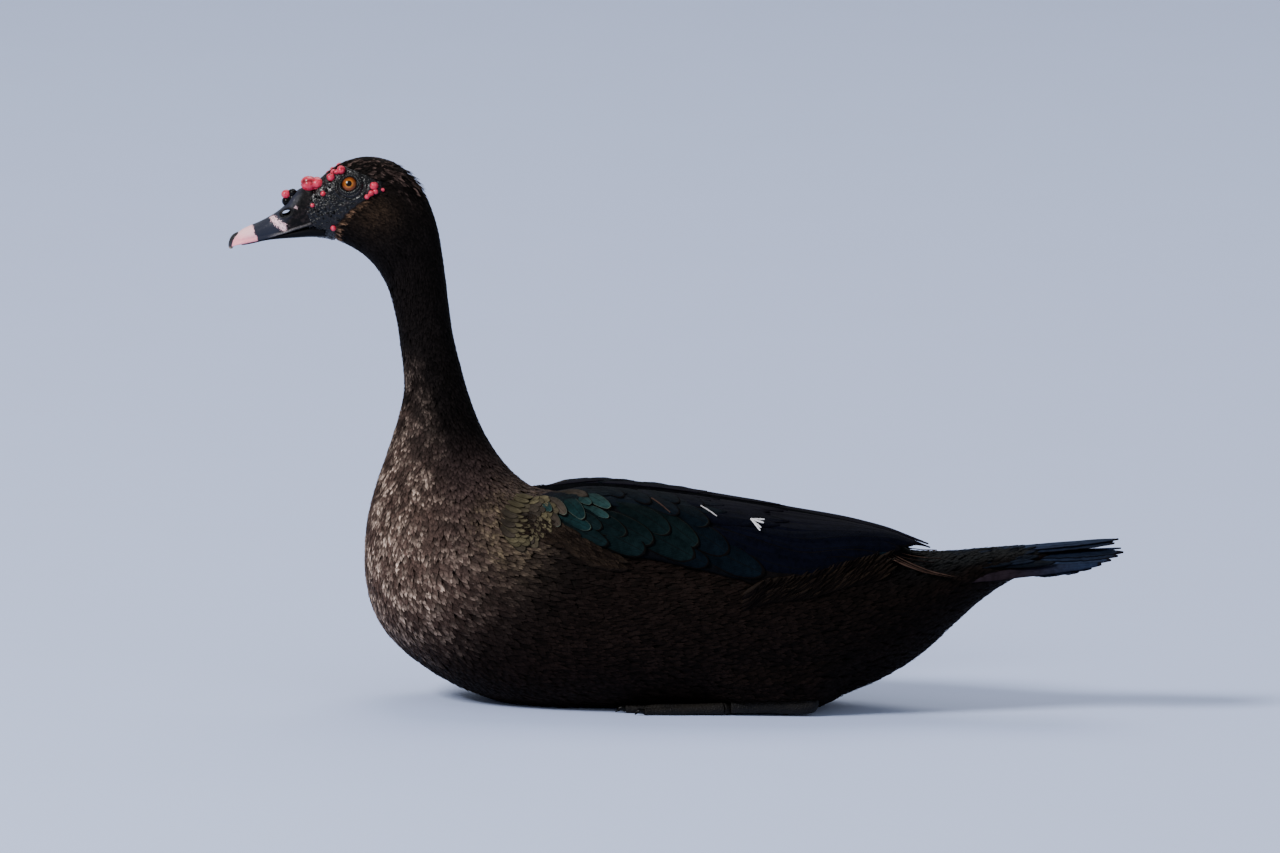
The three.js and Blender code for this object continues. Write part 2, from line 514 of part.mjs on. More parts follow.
for (const [side, name] of SIDES) {
  const [ankleX, ankleY, , ankleR] = LEG.ankle;
  const foot = (grow) => {
    const joint = [ankleX - ankleR - 1, side * ankleY, 4, 4.2 + grow];
    const ends = TOES.map(({ turn, lengths, radius }) => {
      const heading = new THREE.Vector2(-1, 0).rotateAround(new THREE.Vector2(), side * turn * (Math.PI / 180));
      const along = (distance, z, r) =>
        [joint[0] + heading.x * distance, joint[1] + heading.y * distance, z, r + grow];
      const [first, second] = lengths;
      return [
        along(first, 2.8, radius), along(first + second, 2.2, radius * 0.75),
        along(first + second + CLAW, 1, 0.8),
      ];
    });
    const toes = ends.flatMap((toe) => toe.map((to, i) => limb([[joint, ...toe][i], to])));
    const webs = ends.slice(1).map((toe, i) =>
      limb([joint, ends[i][1], toe[1]].map(([x, y]) => [x, y, WEB.height, WEB.thick / 2 + grow]), 6));
    const hallux = limb([joint, [joint[0] + HALLUX.back, joint[1] - side * HALLUX.inward, 2.4, 1.6 + grow]]);
    return join([...toes, ...webs, hallux]);
  };
  const [knee, hock, ankle] = [LEG.knee, LEG.hock, LEG.ankle].map(([x, y, z, r]) => [x, side * y, z, r]);
  const leg = join([limb([knee, hock], 10), limb([hock, ankle], 10)]);
  node(`leg_${name}`, FOOT, leg.subtract(join([bodyCut, foot(GAP), floor.translate([0, 0, LEG_LIFT])])));
  node(`foot_${name}`, FOOT, foot(0).subtract(join([bodyCut, floor])));
}

// The origin is under the middle of the whole bird
const bounds = new THREE.Box3().setFromObject(group);
const middle = bounds.getCenter(new THREE.Vector3());
for (const mesh of group.children) mesh.geometry.translate(-middle.x, -middle.y, 0);

export default group;
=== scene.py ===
"""A life-size muscovy duck at rest, dressed over its solid frame.

Sizes are millimetres until a mesh is made. The bill points to -X and the bird's left side faces -Y.
Heights in the tables are taken from the line where the bird would float, DRAFT above the floor.
"""

import functools
import math

import bpy
import numpy as np
from mathutils import Matrix, Vector


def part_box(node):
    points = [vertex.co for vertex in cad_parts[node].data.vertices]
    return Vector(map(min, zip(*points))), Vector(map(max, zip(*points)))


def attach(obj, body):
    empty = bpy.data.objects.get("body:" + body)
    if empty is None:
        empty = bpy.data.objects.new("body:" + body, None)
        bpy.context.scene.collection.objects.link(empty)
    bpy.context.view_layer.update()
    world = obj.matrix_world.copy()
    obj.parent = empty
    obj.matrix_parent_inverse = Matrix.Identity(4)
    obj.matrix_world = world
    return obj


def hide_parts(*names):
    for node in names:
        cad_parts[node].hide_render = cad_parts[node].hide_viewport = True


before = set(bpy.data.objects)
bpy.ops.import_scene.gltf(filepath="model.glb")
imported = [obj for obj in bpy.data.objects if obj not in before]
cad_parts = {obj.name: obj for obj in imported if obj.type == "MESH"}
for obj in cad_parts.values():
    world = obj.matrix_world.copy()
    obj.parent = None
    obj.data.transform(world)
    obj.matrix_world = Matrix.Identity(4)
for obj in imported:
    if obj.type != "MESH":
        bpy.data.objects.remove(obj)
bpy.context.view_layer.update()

bl_info = {
    "name": "Muscovy duck",
    "version": (1, 0, 0),
    "blender": (4, 5, 0),
    "location": "View3D > Sidebar > Duck",
    "description": "Builds a feathered muscovy duck piece by piece over its solid frame",
    "category": "Add Mesh",
}

MM = 0.001
DRAFT = 54.0
NAIL_FRONT = -294.7  # the bill's tip, from which the frame's own origin is found
LEFT, RIGHT = -1, 1
SIDES = ((LEFT, "left"), (RIGHT, "right"))

ORIGIN = np.array([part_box("bill_nail")[0][0] - NAIL_FRONT * MM, 0.0, 0.0])


# Form: the flesh is one loft, and t counts its stations from the bill to the tail

# upper outline x and z, lower outline x and z, half width, how far the widest place lies up, squareness
STATIONS = np.array([
    (-246, 298, -238.5, 270, 10.5, -0.1, 0.95),
    (-237, 305, -230.5, 268.5, 12.6, -0.1, 0.95),
    (-227, 315.5, -221, 267, 15.2, -0.12, 0.95),
    (-214, 323, -210.5, 263, 17.6, -0.15, 0.95),
    (-198, 326, -200, 256.5, 20, -0.18, 0.95),
    (-181.5, 322, -192, 248.5, 20.8, -0.15, 0.95),
    (-168.5, 311.5, -186.3, 240, 20.2, -0.08, 0.97),
    (-157.5, 296.5, -182.6, 232.5, 19, 0, 1),
    (-150, 277, -180, 224.5, 18.2, 0, 1),
    (-145, 252, -177.6, 216, 17.6, 0, 1),
    (-141, 225.5, -175.3, 206, 17.4, 0, 1),
    (-137, 202, -173.4, 193.5, 17.6, 0, 1),
    (-131, 180, -171, 178.5, 18.4, 0, 1),
    (-123.5, 156.5, -170, 161, 20.2, 0, 1),
    (-114.5, 136, -173.5, 142, 24.5, 0, 1),
    (-103, 118, -181, 116, 32, 0, 1),
    (-90.5, 104.5, -189, 89.5, 43, 0, 1),
    (-77, 95.5, -193.7, 61.5, 55, 0, 0.98),
    (-60, 92.5, -192.5, 27, 65.5, -0.02, 0.95),
    (-40, 93, -182, -2, 73, -0.04, 0.92),
    (-17, 92, -158, -26, 77.5, -0.06, 0.9),
    (9, 89.5, -122, -46, 80, -0.08, 0.88),
    (38, 85.5, -77, -57.5, 80.5, -0.08, 0.87),
    (72, 80, -20, -58.5, 79.5, -0.06, 0.87),
    (107, 73.5, 45, -58, 75.5, -0.03, 0.88),
    (139, 66.5, 106, -54.5, 67.5, 0, 0.9),
    (168, 60.5, 156, -39, 57, 0.05, 0.93),
    (193, 57, 193, -18, 46, 0.1, 0.97),
    (214, 57, 219, 6, 37, 0.15, 1),
    (233, 59, 239, 25, 30.5, 0.15, 1),
    (252, 61, 258, 38.5, 26, 0.1, 1),
    (270, 62.5, 275, 46, 20, 0, 1),
    (284, 62.5, 287, 52.5, 12, 0, 1),
])
LAST = len(STATIONS) - 1
FLOOR_SKIN = 0.5  # the lowest that anything soft comes to the floor
FLOOR_SPREAD = 0.05  # how much of a lift is left where feathers lie on the floor


def lerp(a, b, share):
    return a + (b - a) * share


def smooth(low, high, value):
    """A soft step from 0 at low to 1 at high."""
    share = np.clip((value - low) / (high - low), 0, 1)
    return share * share * (3 - 2 * share)


def bump_at(value, middle, width):
    """1 where a value is in the middle, fading to both sides."""
    return np.exp(-((value - middle) / width) ** 2)


def spline(rows, t):
    """A uniform Catmull-Rom curve through rows, at t counted in rows."""
    rows = np.asarray(rows, dtype=float)
    count = len(rows)
    t = np.clip(t, 0, count - 1)
    i = np.minimum(np.floor(t).astype(int), count - 2)
    padded = np.vstack([2 * rows[0] - rows[1], rows, 2 * rows[-1] - rows[-2]])
    p0, p1, p2, p3 = (padded[i + k] for k in range(4))
    w = (t - i)[..., None]
    m1, m2 = (p2 - p0) / 2, (p3 - p1) / 2
    return ((2 * w**3 - 3 * w**2 + 1) * p1 + (w**3 - 2 * w**2 + w) * m1
            + (3 * w**2 - 2 * w**3) * p2 + (w**3 - w**2) * m2)


# the folded thighs keep the lower body wide: shares of a station's own half width, by height over the floor
THIGH_WIDTHS = ([1, 4, 12, 24, 40, 48], [0, 0.55, 0.9, 0.955, 0.96, 0])
THIGH_FROM, THIGH_TO, THIGH_FADE = 40, 148, 30


def flesh(t, angle):
    """Points of the flesh. angle runs from the back (0) down the right side to the belly (pi)."""
    t, angle = np.broadcast_arrays(np.asarray(t, float), np.asarray(angle, float))
    ux, uz, lx, lz, half, full, square = np.moveaxis(spline(STATIONS, t), -1, 0)
    cos, sin = np.cos(angle), np.sin(angle)
    across = np.sign(cos) * np.abs(cos) ** square
    side = np.sign(sin) * np.abs(sin) ** square
    share = (across + full * (1 - across**2) + 1) / 2
    x, z = lerp(lx, ux, share), lerp(lz, uz, share) + DRAFT
    thigh = smooth(THIGH_FROM, THIGH_FROM + THIGH_FADE, x) * smooth(THIGH_TO, THIGH_TO - THIGH_FADE, x)
    wider = np.maximum(np.interp(z, *THIGH_WIDTHS) - np.abs(side), 0) * thigh
    return np.stack([x, half * (side + np.sign(side) * wider), z], axis=-1)


def flesh_frame(t, angle, step=0.02):
    """Point, outward normal, and the two slopes per unit of t and of angle."""
    t = np.clip(t, step, LAST - step)
    along = (flesh(t + step, angle) - flesh(t - step, angle)) / (2 * step)
    around = (flesh(t, angle + step) - flesh(t, angle - step)) / (2 * step)
    normal = np.cross(along, around)
    normal /= np.maximum(np.linalg.norm(normal, axis=-1, keepdims=True), 1e-9)
    return flesh(t, angle), normal, along, around


def on_flesh(t, angle, lift):
    point, normal, _, _ = flesh_frame(t, angle)
    raised = point + normal * np.asarray(lift)[..., None]
    raised[..., 2] = np.maximum(raised[..., 2], FLOOR_SKIN + np.asarray(lift) * FLOOR_SPREAD)
    return raised


# Places as they are seen from the side, in the flat picture that the markings are measured in

# how far back and how far down a place on the near side shifts, for each mm that it stands out
NEARER_BACK, NEARER_DOWN = 0.052, 0.123


def seen(points):
    """The flat x and height at which points on either side appear."""
    out = np.abs(points[..., 1])
    x, z = points[..., 0] + NEARER_BACK * out, points[..., 2] - DRAFT - NEARER_DOWN * out
    return np.stack([x, z], axis=-1)


# the angles to which a place is looked for, and the rounds in which it is closed in on
UPPER_HALF, WHOLE_SIDE = 1.5, 3.0
SEEK_ROUNDS = 12


@functools.cache
def coarse(side, top):
    """A coarse grid of t and angle over one side, and its points."""
    t, angle = np.meshgrid(np.arange(0.2, LAST, 0.25), side * np.arange(0.05, top, 0.1), indexing="ij")
    return t, angle, flesh(t, angle)


def seek(side, x=None, y=None, z=None, flat=False):
    """The t and angle at which the flesh has two wanted coordinates, or a flat x and height."""
    def miss(here):
        if flat:
            return seen(here) - np.array([x, z])
        wanted = [(axis, value) for axis, value in enumerate((x, y, z)) if value is not None]
        gaps = [here[..., axis] - value - (DRAFT if axis == 2 else 0) for axis, value in wanted]
        return np.stack(gaps, axis=-1)

    ts, angles, grid = coarse(side, UPPER_HALF if y is not None else WHOLE_SIDE)
    far = np.linalg.norm(miss(grid), axis=-1)
    best = np.unravel_index(np.argmin(far), far.shape)
    t, angle = ts[best], angles[best]
    step = 0.005
    for _ in range(SEEK_ROUNDS):
        here, further, round_it = miss(flesh([t, t + step, t], [angle, angle, angle + step]))
        slope = np.column_stack([(further - here) / step, (round_it - here) / step])
        move = np.linalg.lstsq(slope, -here, rcond=None)[0]
        t = float(np.clip(t + np.clip(move[0], -0.5, 0.5), 0.05, LAST - 0.05))
        angle = float(angle + np.clip(move[1], -0.4, 0.4))
    return t, angle


def border_distance(points, polygon):
    """Distance of flat points from a polygon's border, negative inside it."""
    polygon = np.asarray(polygon, float)
    flat = points.reshape(-1, 2)
    nearest = np.full(len(flat), 1e9)
    inside = np.zeros(len(flat), bool)
    for a, b in zip(polygon, np.roll(polygon, -1, axis=0)):
        edge = b - a
        share = np.clip(((flat - a) @ edge) / (edge @ edge), 0, 1)
        nearest = np.minimum(nearest, np.linalg.norm(flat - a - share[:, None] * edge, axis=1))
        crosses = (a[1] > flat[:, 1]) != (b[1] > flat[:, 1])
        with np.errstate(divide="ignore", invalid="ignore"):
            at = a[0] + (flat[:, 1] - a[1]) / (b[1] - a[1]) * edge[0]
        inside ^= crosses & (flat[:, 0] < at)
    return np.where(inside, -nearest, nearest).reshape(points.shape[:-1])


# large odd numbers that mix a cell's three numbers and a seed
MIXERS = (73856093, 19349663, 83492791)
SEED_MIXER, LAST_MIXER = 2654435761, 1274126177


def lattice(cells, seed):
    """A repeatable random number for each whole-numbered cell."""
    cells = cells.astype(np.int64)
    key = np.bitwise_xor.reduce(cells * np.array(MIXERS), axis=-1) ^ (seed * SEED_MIXER)
    key = (key ^ (key >> 13)) * LAST_MIXER & 0x7FFFFFFF
    return ((key ^ (key >> 16)) & 0xFFFF) / 0xFFFF


def cloud(points, size, seed=0):
    """Smooth noise from 0 to 1 whose lumps are about size across."""
    scaled = points / size
    base = np.floor(scaled)
    share = scaled - base
    share = share * share * (3 - 2 * share)
    total = np.zeros(points.shape[:-1])
    for corner in np.ndindex(2, 2, 2):
        weight = np.prod(np.where(np.array(corner) == 1, share, 1 - share), axis=-1)
        total += weight * lattice(base + np.array(corner), seed)
    return total


def pebbles(points, size, seed=0):
    """Distance to the nearest of scattered centres about size apart, as a share of that size."""
    scaled = points / size
    base = np.floor(scaled)
    nearest = np.full(points.shape[:-1], 9.0)
    for corner in np.ndindex(3, 3, 3):
        cell = base + np.array(corner) - 1
        centre = cell + np.stack([lattice(cell, seed + k) for k in range(3)], axis=-1)
        nearest = np.minimum(nearest, np.linalg.norm(scaled - centre, axis=-1))
    return nearest


# Meshes

def add_mesh(name, points, faces, uvs=None, colours=None, values=None):
    """An object from points in millimetres, with maps, colours and values given for each point."""
    points = np.asarray(points, float).reshape(-1, 3) * MM + ORIGIN
    mesh = bpy.data.meshes.new(name)
    mesh.from_pydata(points.tolist(), [], [tuple(f) for f in np.asarray(faces).tolist()])
    corners = np.zeros(len(mesh.loops), int)
    mesh.loops.foreach_get("vertex_index", corners)
    for map_name, uv in (uvs or {}).items():
        layer = mesh.uv_layers.new(name=map_name)
        layer.data.foreach_set("uv", np.asarray(uv, float).reshape(-1, 2)[corners].ravel())
    if colours is not None:
        layer = mesh.color_attributes.new("Coat", "FLOAT_COLOR", "POINT")
        rgba = np.ones((len(points), 4))
        rgba[:, :3] = np.asarray(colours).reshape(-1, 3)
        layer.data.foreach_set("color", rgba.ravel())
    for value_name, value in (values or {}).items():
        layer = mesh.attributes.new(value_name, "FLOAT", "POINT")
        layer.data.foreach_set("value", np.asarray(value, float).ravel())
    mesh.polygons.foreach_set("use_smooth", [True] * len(mesh.polygons))
    mesh.update()
    made = bpy.data.objects.new(name, mesh)
    bpy.context.scene.collection.objects.link(made)
    return made


def grid_faces(rows, columns, copies=1, wrap=False):
    """Quads of one or many grids whose points run along the columns first."""
    row, column = np.meshgrid(np.arange(rows - 1), np.arange(columns - (0 if wrap else 1)), indexing="ij")
    after = (column + 1) % columns
    one = np.stack([row * columns + column, row * columns + after,
                    (row + 1) * columns + after, (row + 1) * columns + column], axis=-1).reshape(-1, 4)
    return (one[None] + (np.arange(copies) * rows * columns)[:, None, None]).reshape(-1, 4)


def dress(piece, material, *nodes, slot=None):
    """Gives a piece its material, lets it ride on the bird and stand for CAD nodes."""
    piece.data.materials.clear()
    piece.data.materials.append(material)
    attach(piece, "root")
    if nodes:
        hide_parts(*nodes)
    return piece


# Materials: sockets that add and multiply as numbers do

class Value:
    """A number in a material's node tree."""

    def __init__(self, nodes, socket):
        self.nodes = nodes
        self.socket = socket

    def math(self, operation, *others):
        return self.nodes.add("ShaderNodeMath", {"operation": operation}, self, *others)

    def __add__(self, other):
        return self.math("ADD", other)

    def __mul__(self, other):
        return self.math("MULTIPLY", other)

    def __sub__(self, other):
        return self.math("SUBTRACT", other)

    def __rsub__(self, other):
        return self.nodes.add("ShaderNodeMath", {"operation": "SUBTRACT"}, other, self)

    def __truediv__(self, other):
        return self.math("DIVIDE", other)

    def __pow__(self, other):
        return self.math("POWER", other)

    __radd__ = __add__
    __rmul__ = __mul__

    def sine(self):
        return self.math("SINE")

    def size(self):
        return self.math("ABSOLUTE")

    def ramp(self, low, high, start=0.0, end=1.0):
        """A soft step from start to end as the number goes from low to high."""
        soft = {"interpolation_type": "SMOOTHSTEP"}
        return self.nodes.add("ShaderNodeMapRange", soft, self, low, high, start, end)


class Nodes:
    """A material's node tree, with one way to add a node."""

    def __init__(self, name):
        self.material = bpy.data.materials.new(name)
        self.material.use_nodes = True
        self.tree = self.material.node_tree
        self.tree.nodes.clear()

    def add(self, kind, settings, *values, output=0, **named):
        node = self.tree.nodes.new(kind)
        for key, value in settings.items():
            setattr(node, key, value)
        for key, value in list(enumerate(values)) + list(named.items()):
            self.feed(node.inputs[key], value)
        return Value(self, node.outputs[output]) if node.outputs else None

    def feed(self, target, value):
        if isinstance(value, Value):
            self.tree.links.new(value.socket, target)
        elif value is not None:
            target.default_value = (*value, 1.0) if target.type == "RGBA" else value

    def place(self):
        return self.add("ShaderNodeTexCoord", {}, output="Object")

    def split(self, vector):
        """The three numbers of a place."""
        first = self.add("ShaderNodeSeparateXYZ", {}, vector)
        return [Value(self, out) for out in first.socket.node.outputs]

    def colour(self, name):
        return self.add("ShaderNodeVertexColor", {"layer_name": name})

    def attribute(self, name):
        return self.add("ShaderNodeAttribute", {"attribute_name": name}, output="Fac")

    def vane(self):
        """Share from root to tip, and share from one edge to the other, of the feather under the point."""
        return self.split(self.add("ShaderNodeUVMap", {"uv_map": "Vane"}))[:2]

    def noise(self, scale, detail=2.0, roughness=0.5):
        named = {"Vector": self.place(), "Scale": scale, "Detail": detail, "Roughness": roughness}
        return self.add("ShaderNodeTexNoise", {}, output="Fac", **named)

    def cells(self, scale, feature="F1"):
        named = {"Vector": self.place(), "Scale": scale}
        return self.add("ShaderNodeTexVoronoi", {"feature": feature}, output="Distance", **named)

    def blend(self, share, first, second, mode="MIX"):
        """A colour between two others. The node's colour sockets come after five for other kinds."""
        settings = {"data_type": "RGBA", "blend_type": mode, "clamp_factor": True}
        return self.add("ShaderNodeMix", settings, share, *[None] * 5, first, second, output=2)

    def within(self, x, z, first, second, size, soft=0.5):
        """1 inside a rounded bar between two flat places, 0 outside it."""
        run = (second[0] - first[0], second[1] - first[1])
        along = ((x - first[0]) * run[0] + (z - first[1]) * run[1]) / (run[0] ** 2 + run[1] ** 2)
        along = along.math("MAXIMUM", 0.0).math("MINIMUM", 1.0)
        far_x = x - first[0] - along * run[0]
        far_z = z - first[1] - along * run[1]
        return ((far_x * far_x + far_z * far_z) ** 0.5).ramp(size - soft, size + soft, 1.0, 0.0)

    def bump(self, height, strength, distance):
        return self.add("ShaderNodeBump", {}, Height=height, Strength=strength, Distance=distance)

    def finish(self, colour, roughness, normal=None, **others):
        """Ends the tree in a Principled shader. Others are its sockets, with underscores for spaces."""
        named = {"Base Color": colour, "Roughness": roughness, "Normal": normal}
        named.update({key.replace("_", " "): value for key, value in others.items()})
        shader = self.add("ShaderNodeBsdfPrincipled", {}, **named)
        self.add("ShaderNodeOutputMaterial", {}, shader)
        return self.material


# blacks between the feathers' barbs, in the pupil, in the painted shade round the nostrils, and in the
# mouth's skin
BARB_BLACK = (0.003, 0.0025, 0.002)
NIGHT_BLACK = (0.002, 0.002, 0.003)
SKIN_BLACK = (0.003, 0.003, 0.003)
DEEP_BLACK = (0.002, 0.002, 0.002)
HORN_AND_SHADE_BLACK = (0.003, 0.003, 0.004)
PUPIL_BLACK = (0.004, 0.003, 0.002)
SCALE_BLACK = (0.006, 0.005, 0.005)


def coat_material(p):
    """Small body feathers: colour from the coat, soft barbs across each one."""
    n = Nodes("coat")
    along, across = n.vane()
    side = (across - 0.5).size()
    barbs = (along * 22.0 + side * 16.0).sine()
    streak = n.noise(1100.0, 2.0)
    tint = n.blend(streak.ramp(0.35, 0.75) * 0.55, n.colour("Coat"), BARB_BLACK)
    rough = streak.ramp(0.2, 0.8, 0.45, 0.6)
    return n.finish(tint, rough, n.bump(barbs, 0.12, 0.0002), Specular_IOR_Level=0.02, Sheen_Weight=0.01,
                    Sheen_Roughness=0.4, Sheen_Tint=p.coat_sheen)


def skin_material(p):
    """The skin under the coat carries the coat's colours, and the bare face shows its own pores and folds."""
    n = Nodes("skin")
    bare = n.attribute("Bare")
    pores = n.cells(800.0)
    folds = n.noise(260.0, 3.0)
    shine = n.blend(folds.ramp(0.5, 0.75), p.face_dark, p.face_pale)
    tint = n.blend(bare, n.colour("Coat"), shine)
    rough = bare.ramp(0.0, 1.0, 0.75, 0.2) + folds.ramp(0.3, 0.7, 0.0, 0.12)
    relief = pores * 0.4 + folds * 1.3
    return n.finish(tint, rough, n.bump(relief, 1.0, 0.0011), Coat_Weight=bare * 0.2, Specular_IOR_Level=0.16,
                    Coat_Roughness=0.16)


def vane_material(p):
    """Large feathers: a shaft, slanting barbs, and a dull dark edge round a glossy middle."""
    n = Nodes("vane")
    along, across = n.vane()
    side = (across - 0.5).size() * 2.0
    place_noise = n.noise(260.0, 3.0, 0.6)
    barbs = (along * n.attribute("Length") * 2.6 + side * 30.0 + place_noise * 2.0).sine()
    edge = n.attribute("Edge")
    rim = (side ** 4.0 + (along ** 12.0) * 1.2 + place_noise * 0.2).ramp(0.72, 0.92)
    line = rim * (1.0 - rim) * edge.ramp(0.9, 1.0)
    shaft = side.ramp(0.02, 0.07, 1.0, 0.0)
    body = n.blend(barbs.ramp(-0.6, 1.0) * 0.2, n.colour("Coat"), NIGHT_BLACK)
    body = n.blend(place_noise.ramp(0.35, 0.75) * 0.45, body, n.colour("Coat"), "MULTIPLY")
    body = n.blend(rim * edge, body, p.vane_edge)
    body = n.blend(line * 1.6, body, p.vane_line)
    body = n.blend(shaft * 0.6, body, SKIN_BLACK)
    rough = rim.ramp(0.0, 1.0, 0.56, 0.68)
    relief = barbs * 0.3 + shaft
    return n.finish(body, rough, n.bump(relief, 0.2, 0.0003), Specular_IOR_Level=0.01)


def horn_material(p):
    """The bill: a pink band behind the nail, a slate band, a pale patch, and dark skin towards the face."""
    n = Nodes("horn")
    x, y, z = n.split(n.place())
    wobble = (n.noise(420.0, 3.0) - 0.5) * 5.0
    fine = (n.noise(1400.0, 2.0) - 0.5) * 3.0
    out = y.size() * (1 / MM)
    reach = x * (1 / MM) - ORIGIN[0] / MM + out * NEARER_BACK
    height = z * (1 / MM) - DRAFT - out * NEARER_DOWN
    pink_end = (reach + (height - 265.2) * 0.4 + wobble * 0.7 + fine).ramp(-275.6, -274.6)
    patch = 0
    for first, second, size in BILL_PATCH:
        mark = n.within(reach + wobble + fine, height + fine * 2.0, first, second, size)
        patch = mark.math("MAXIMUM", patch)
    dark_start = (reach - height * 0.5 + 137.0 + wobble * 1.2).ramp(-263.5, -255.0)
    speck = n.noise(1500.0, 2.0).ramp(0.55, 0.75)
    pink = n.blend((height + wobble).ramp(265.0, 271.0) * 0.8, p.bill_pink, p.bill_pale)
    pink = n.blend(speck * 0.3, pink, p.caruncle_pink)
    tint = n.blend(pink_end, pink, p.bill_slate)
    dark = n.blend(n.noise(500.0, 3.0).ramp(0.42, 0.75), p.face_dark, p.face_pale)
    tint = n.blend(dark_start, tint, dark)
    worn = 1.0 - speck * 0.55 - n.noise(900.0, 2.0).ramp(0.5, 0.62) * 0.5
    tint = n.blend(patch * worn, tint, p.bill_pale)
    # painted shade: a black ring round the nostril stands for its dark hollow
    ring = n.within(reach, height, *NOSTRIL_BAR, 3.2, 0.8)
    tint = n.blend(ring * 0.95, tint, DEEP_BLACK)
    tint = n.blend(n.attribute("Lip") * pink_end * fine.ramp(-0.8, 0.4), tint, p.bill_lip)
    rough = wobble.ramp(-1.5, 1.5, 0.26, 0.4) + dark_start * 0.2
    return n.finish(tint, rough, n.bump(n.noise(700.0, 4.0), 0.5, 0.0006), Specular_IOR_Level=0.1)


def nail_material(p):
    """The nail: dark horn with a tan tip."""
    n = Nodes("nail")
    z = n.split(n.place())[2]
    height = z * (1 / MM) - DRAFT + (n.noise(600.0) - 0.5) * 2.0
    tint = n.blend(height.ramp(259.0, 261.5), p.nail_tip, p.nail_dark)
    return n.finish(tint, n.noise(900.0).ramp(0.3, 0.7, 0.25, 0.38), n.bump(n.noise(1200.0), 0.2, 0.0003))


def caruncle_material(p):
    """Moist red skin, paler where it is stretched, with painted shade in its creases."""
    n = Nodes("caruncle")
    crease = n.attribute("Crease")
    mottle = n.noise(500.0, 3.0)
    tint = n.blend(mottle.ramp(0.3, 0.72), p.caruncle_red, p.caruncle_pink)
    # painted shade: darker red in the creases
    tint = n.blend(crease, tint, p.caruncle_crease_shade)
    return n.finish(tint, mottle.ramp(0.2, 0.8, 0.26, 0.4), n.bump(n.noise(1500.0, 2.0), 0.2, 0.0003),
                    Subsurface_Weight=0.1, Subsurface_Scale=0.001, Specular_IOR_Level=0.25, Coat_Weight=0.2,
                    Coat_Roughness=0.08)


def glossy_skin_material(p):
    """Black wet skin of the lids and of the dark bulbs at the bill's base."""
    n = Nodes("glossy_skin")
    folds = n.noise(800.0, 3.0)
    tint = n.blend(folds.ramp(0.6, 0.95), DEEP_BLACK, p.face_pale)
    return n.finish(tint, folds.ramp(0.3, 0.8, 0.2, 0.4), n.bump(folds, 0.3, 0.0004), Coat_Weight=0.06,
                    Coat_Roughness=0.04, Specular_IOR_Level=0.06)


def lower_bill_material(p):
    """The lower bill's black horn, darkened also as painted shade under the upper bill."""
    n = Nodes("lower_bill")
    scuffs = n.noise(700.0, 3.0)
    # black for the dark horn, and for painted shade under the upper bill
    tint = n.blend(scuffs.ramp(0.5, 0.8) * 0.6, HORN_AND_SHADE_BLACK, p.face_dark)
    return n.finish(tint, scuffs.ramp(0.3, 0.8, 0.5, 0.65), n.bump(scuffs, 0.3, 0.0003),
                    Specular_IOR_Level=0.06)


def lid_material(p):
    """Wet black lids, greyer along their lower fold."""
    n = Nodes("lid")
    folds = n.noise(900.0, 3.0)
    tint = n.blend(n.attribute("Stretch") * 0.7, SKIN_BLACK, p.face_pale)
    return n.finish(tint, folds.ramp(0.3, 0.8, 0.22, 0.4), n.bump(folds, 0.3, 0.0003), Coat_Weight=0.15,
                    Coat_Roughness=0.05, Specular_IOR_Level=0.15)


def eye_material(p):
    """Pupil, amber iris with fine rays and a dark rim, and a black surround, by distance from the axis."""
    n = Nodes("eye")
    out = n.attribute("Radius")
    rays = n.attribute("Ray") * 2.0 - 1.0
    iris = n.blend(out.ramp(2.3, 3.9), p.iris_inner, p.iris_outer)
    iris = n.blend(rays.ramp(-1.0, 1.0) * 0.3, iris, p.iris_ray)
    tint = n.blend(out.ramp(1.95, 2.25), PUPIL_BLACK, iris)
    tint = n.blend(out.ramp(4.2, 5.2), tint, p.iris_rim)
    tint = n.blend(out.ramp(5.4, 5.8), tint, SKIN_BLACK)
    return n.finish(tint, out.ramp(0.0, 6.0, 0.08, 0.12), Specular_IOR_Level=0.15, Coat_Weight=0.25,
                    Coat_Roughness=0.01)


def foot_material(p):
    """Scaled dark skin with greyer joints."""
    n = Nodes("foot")
    scales = n.cells(520.0, "DISTANCE_TO_EDGE")
    patchy = n.noise(90.0, 3.0)
    tint = n.blend(patchy.ramp(0.35, 0.7), p.foot_dark, p.foot_pale)
    tint = n.blend(scales.ramp(0.0, 0.1, 0.6, 0.0), tint, SCALE_BLACK)
    return n.finish(tint, patchy.ramp(0.2, 0.8, 0.5, 0.65), n.bump(scales.ramp(0.0, 0.25), 0.6, 0.0006),
                    Specular_IOR_Level=0.12)


def floor_material(p):
    """A plain pale floor with a faint grain."""
    n = Nodes("floor")
    grain = n.noise(9.0, 3.0)
    tint = n.blend(grain * 0.15, p.floor_colour, dimmed(p.floor_colour, 0.94))
    return n.finish(tint, grain.ramp(0.2, 0.8, 0.6, 0.7))


# The face and its markings, all flat x and height

BARE_FACE = [(-188.5, 302.5), (-201.3, 295.6), (-211.1, 288.7), (-215.9, 282.5), (-220.7, 276.4),
             (-221.6, 266), (-260, 258), (-262, 300), (-243, 309), (-232, 311), (-224, 316), (-216, 318.6),
             (-206, 315.5), (-198, 311.5), (-190, 308.5)]
EYE_SPOT = (-213.0, 308.0)
EYE_BALL = 7.5
EYE_OPENING = 5.6
IRIS = 5.3
EYE_SEAT = {side: seek(side, x=EYE_SPOT[0], z=EYE_SPOT[1]) for side, _ in SIDES}
HEAD_END = 7.2  # the head's dense grid ends at this t


def tangents(side):
    """The eye's seat: its point, outward normal, and mm per unit of t and of angle there."""
    point, normal, along, around = flesh_frame(*EYE_SEAT[side])
    return point, normal, np.linalg.norm(along), np.linalg.norm(around)


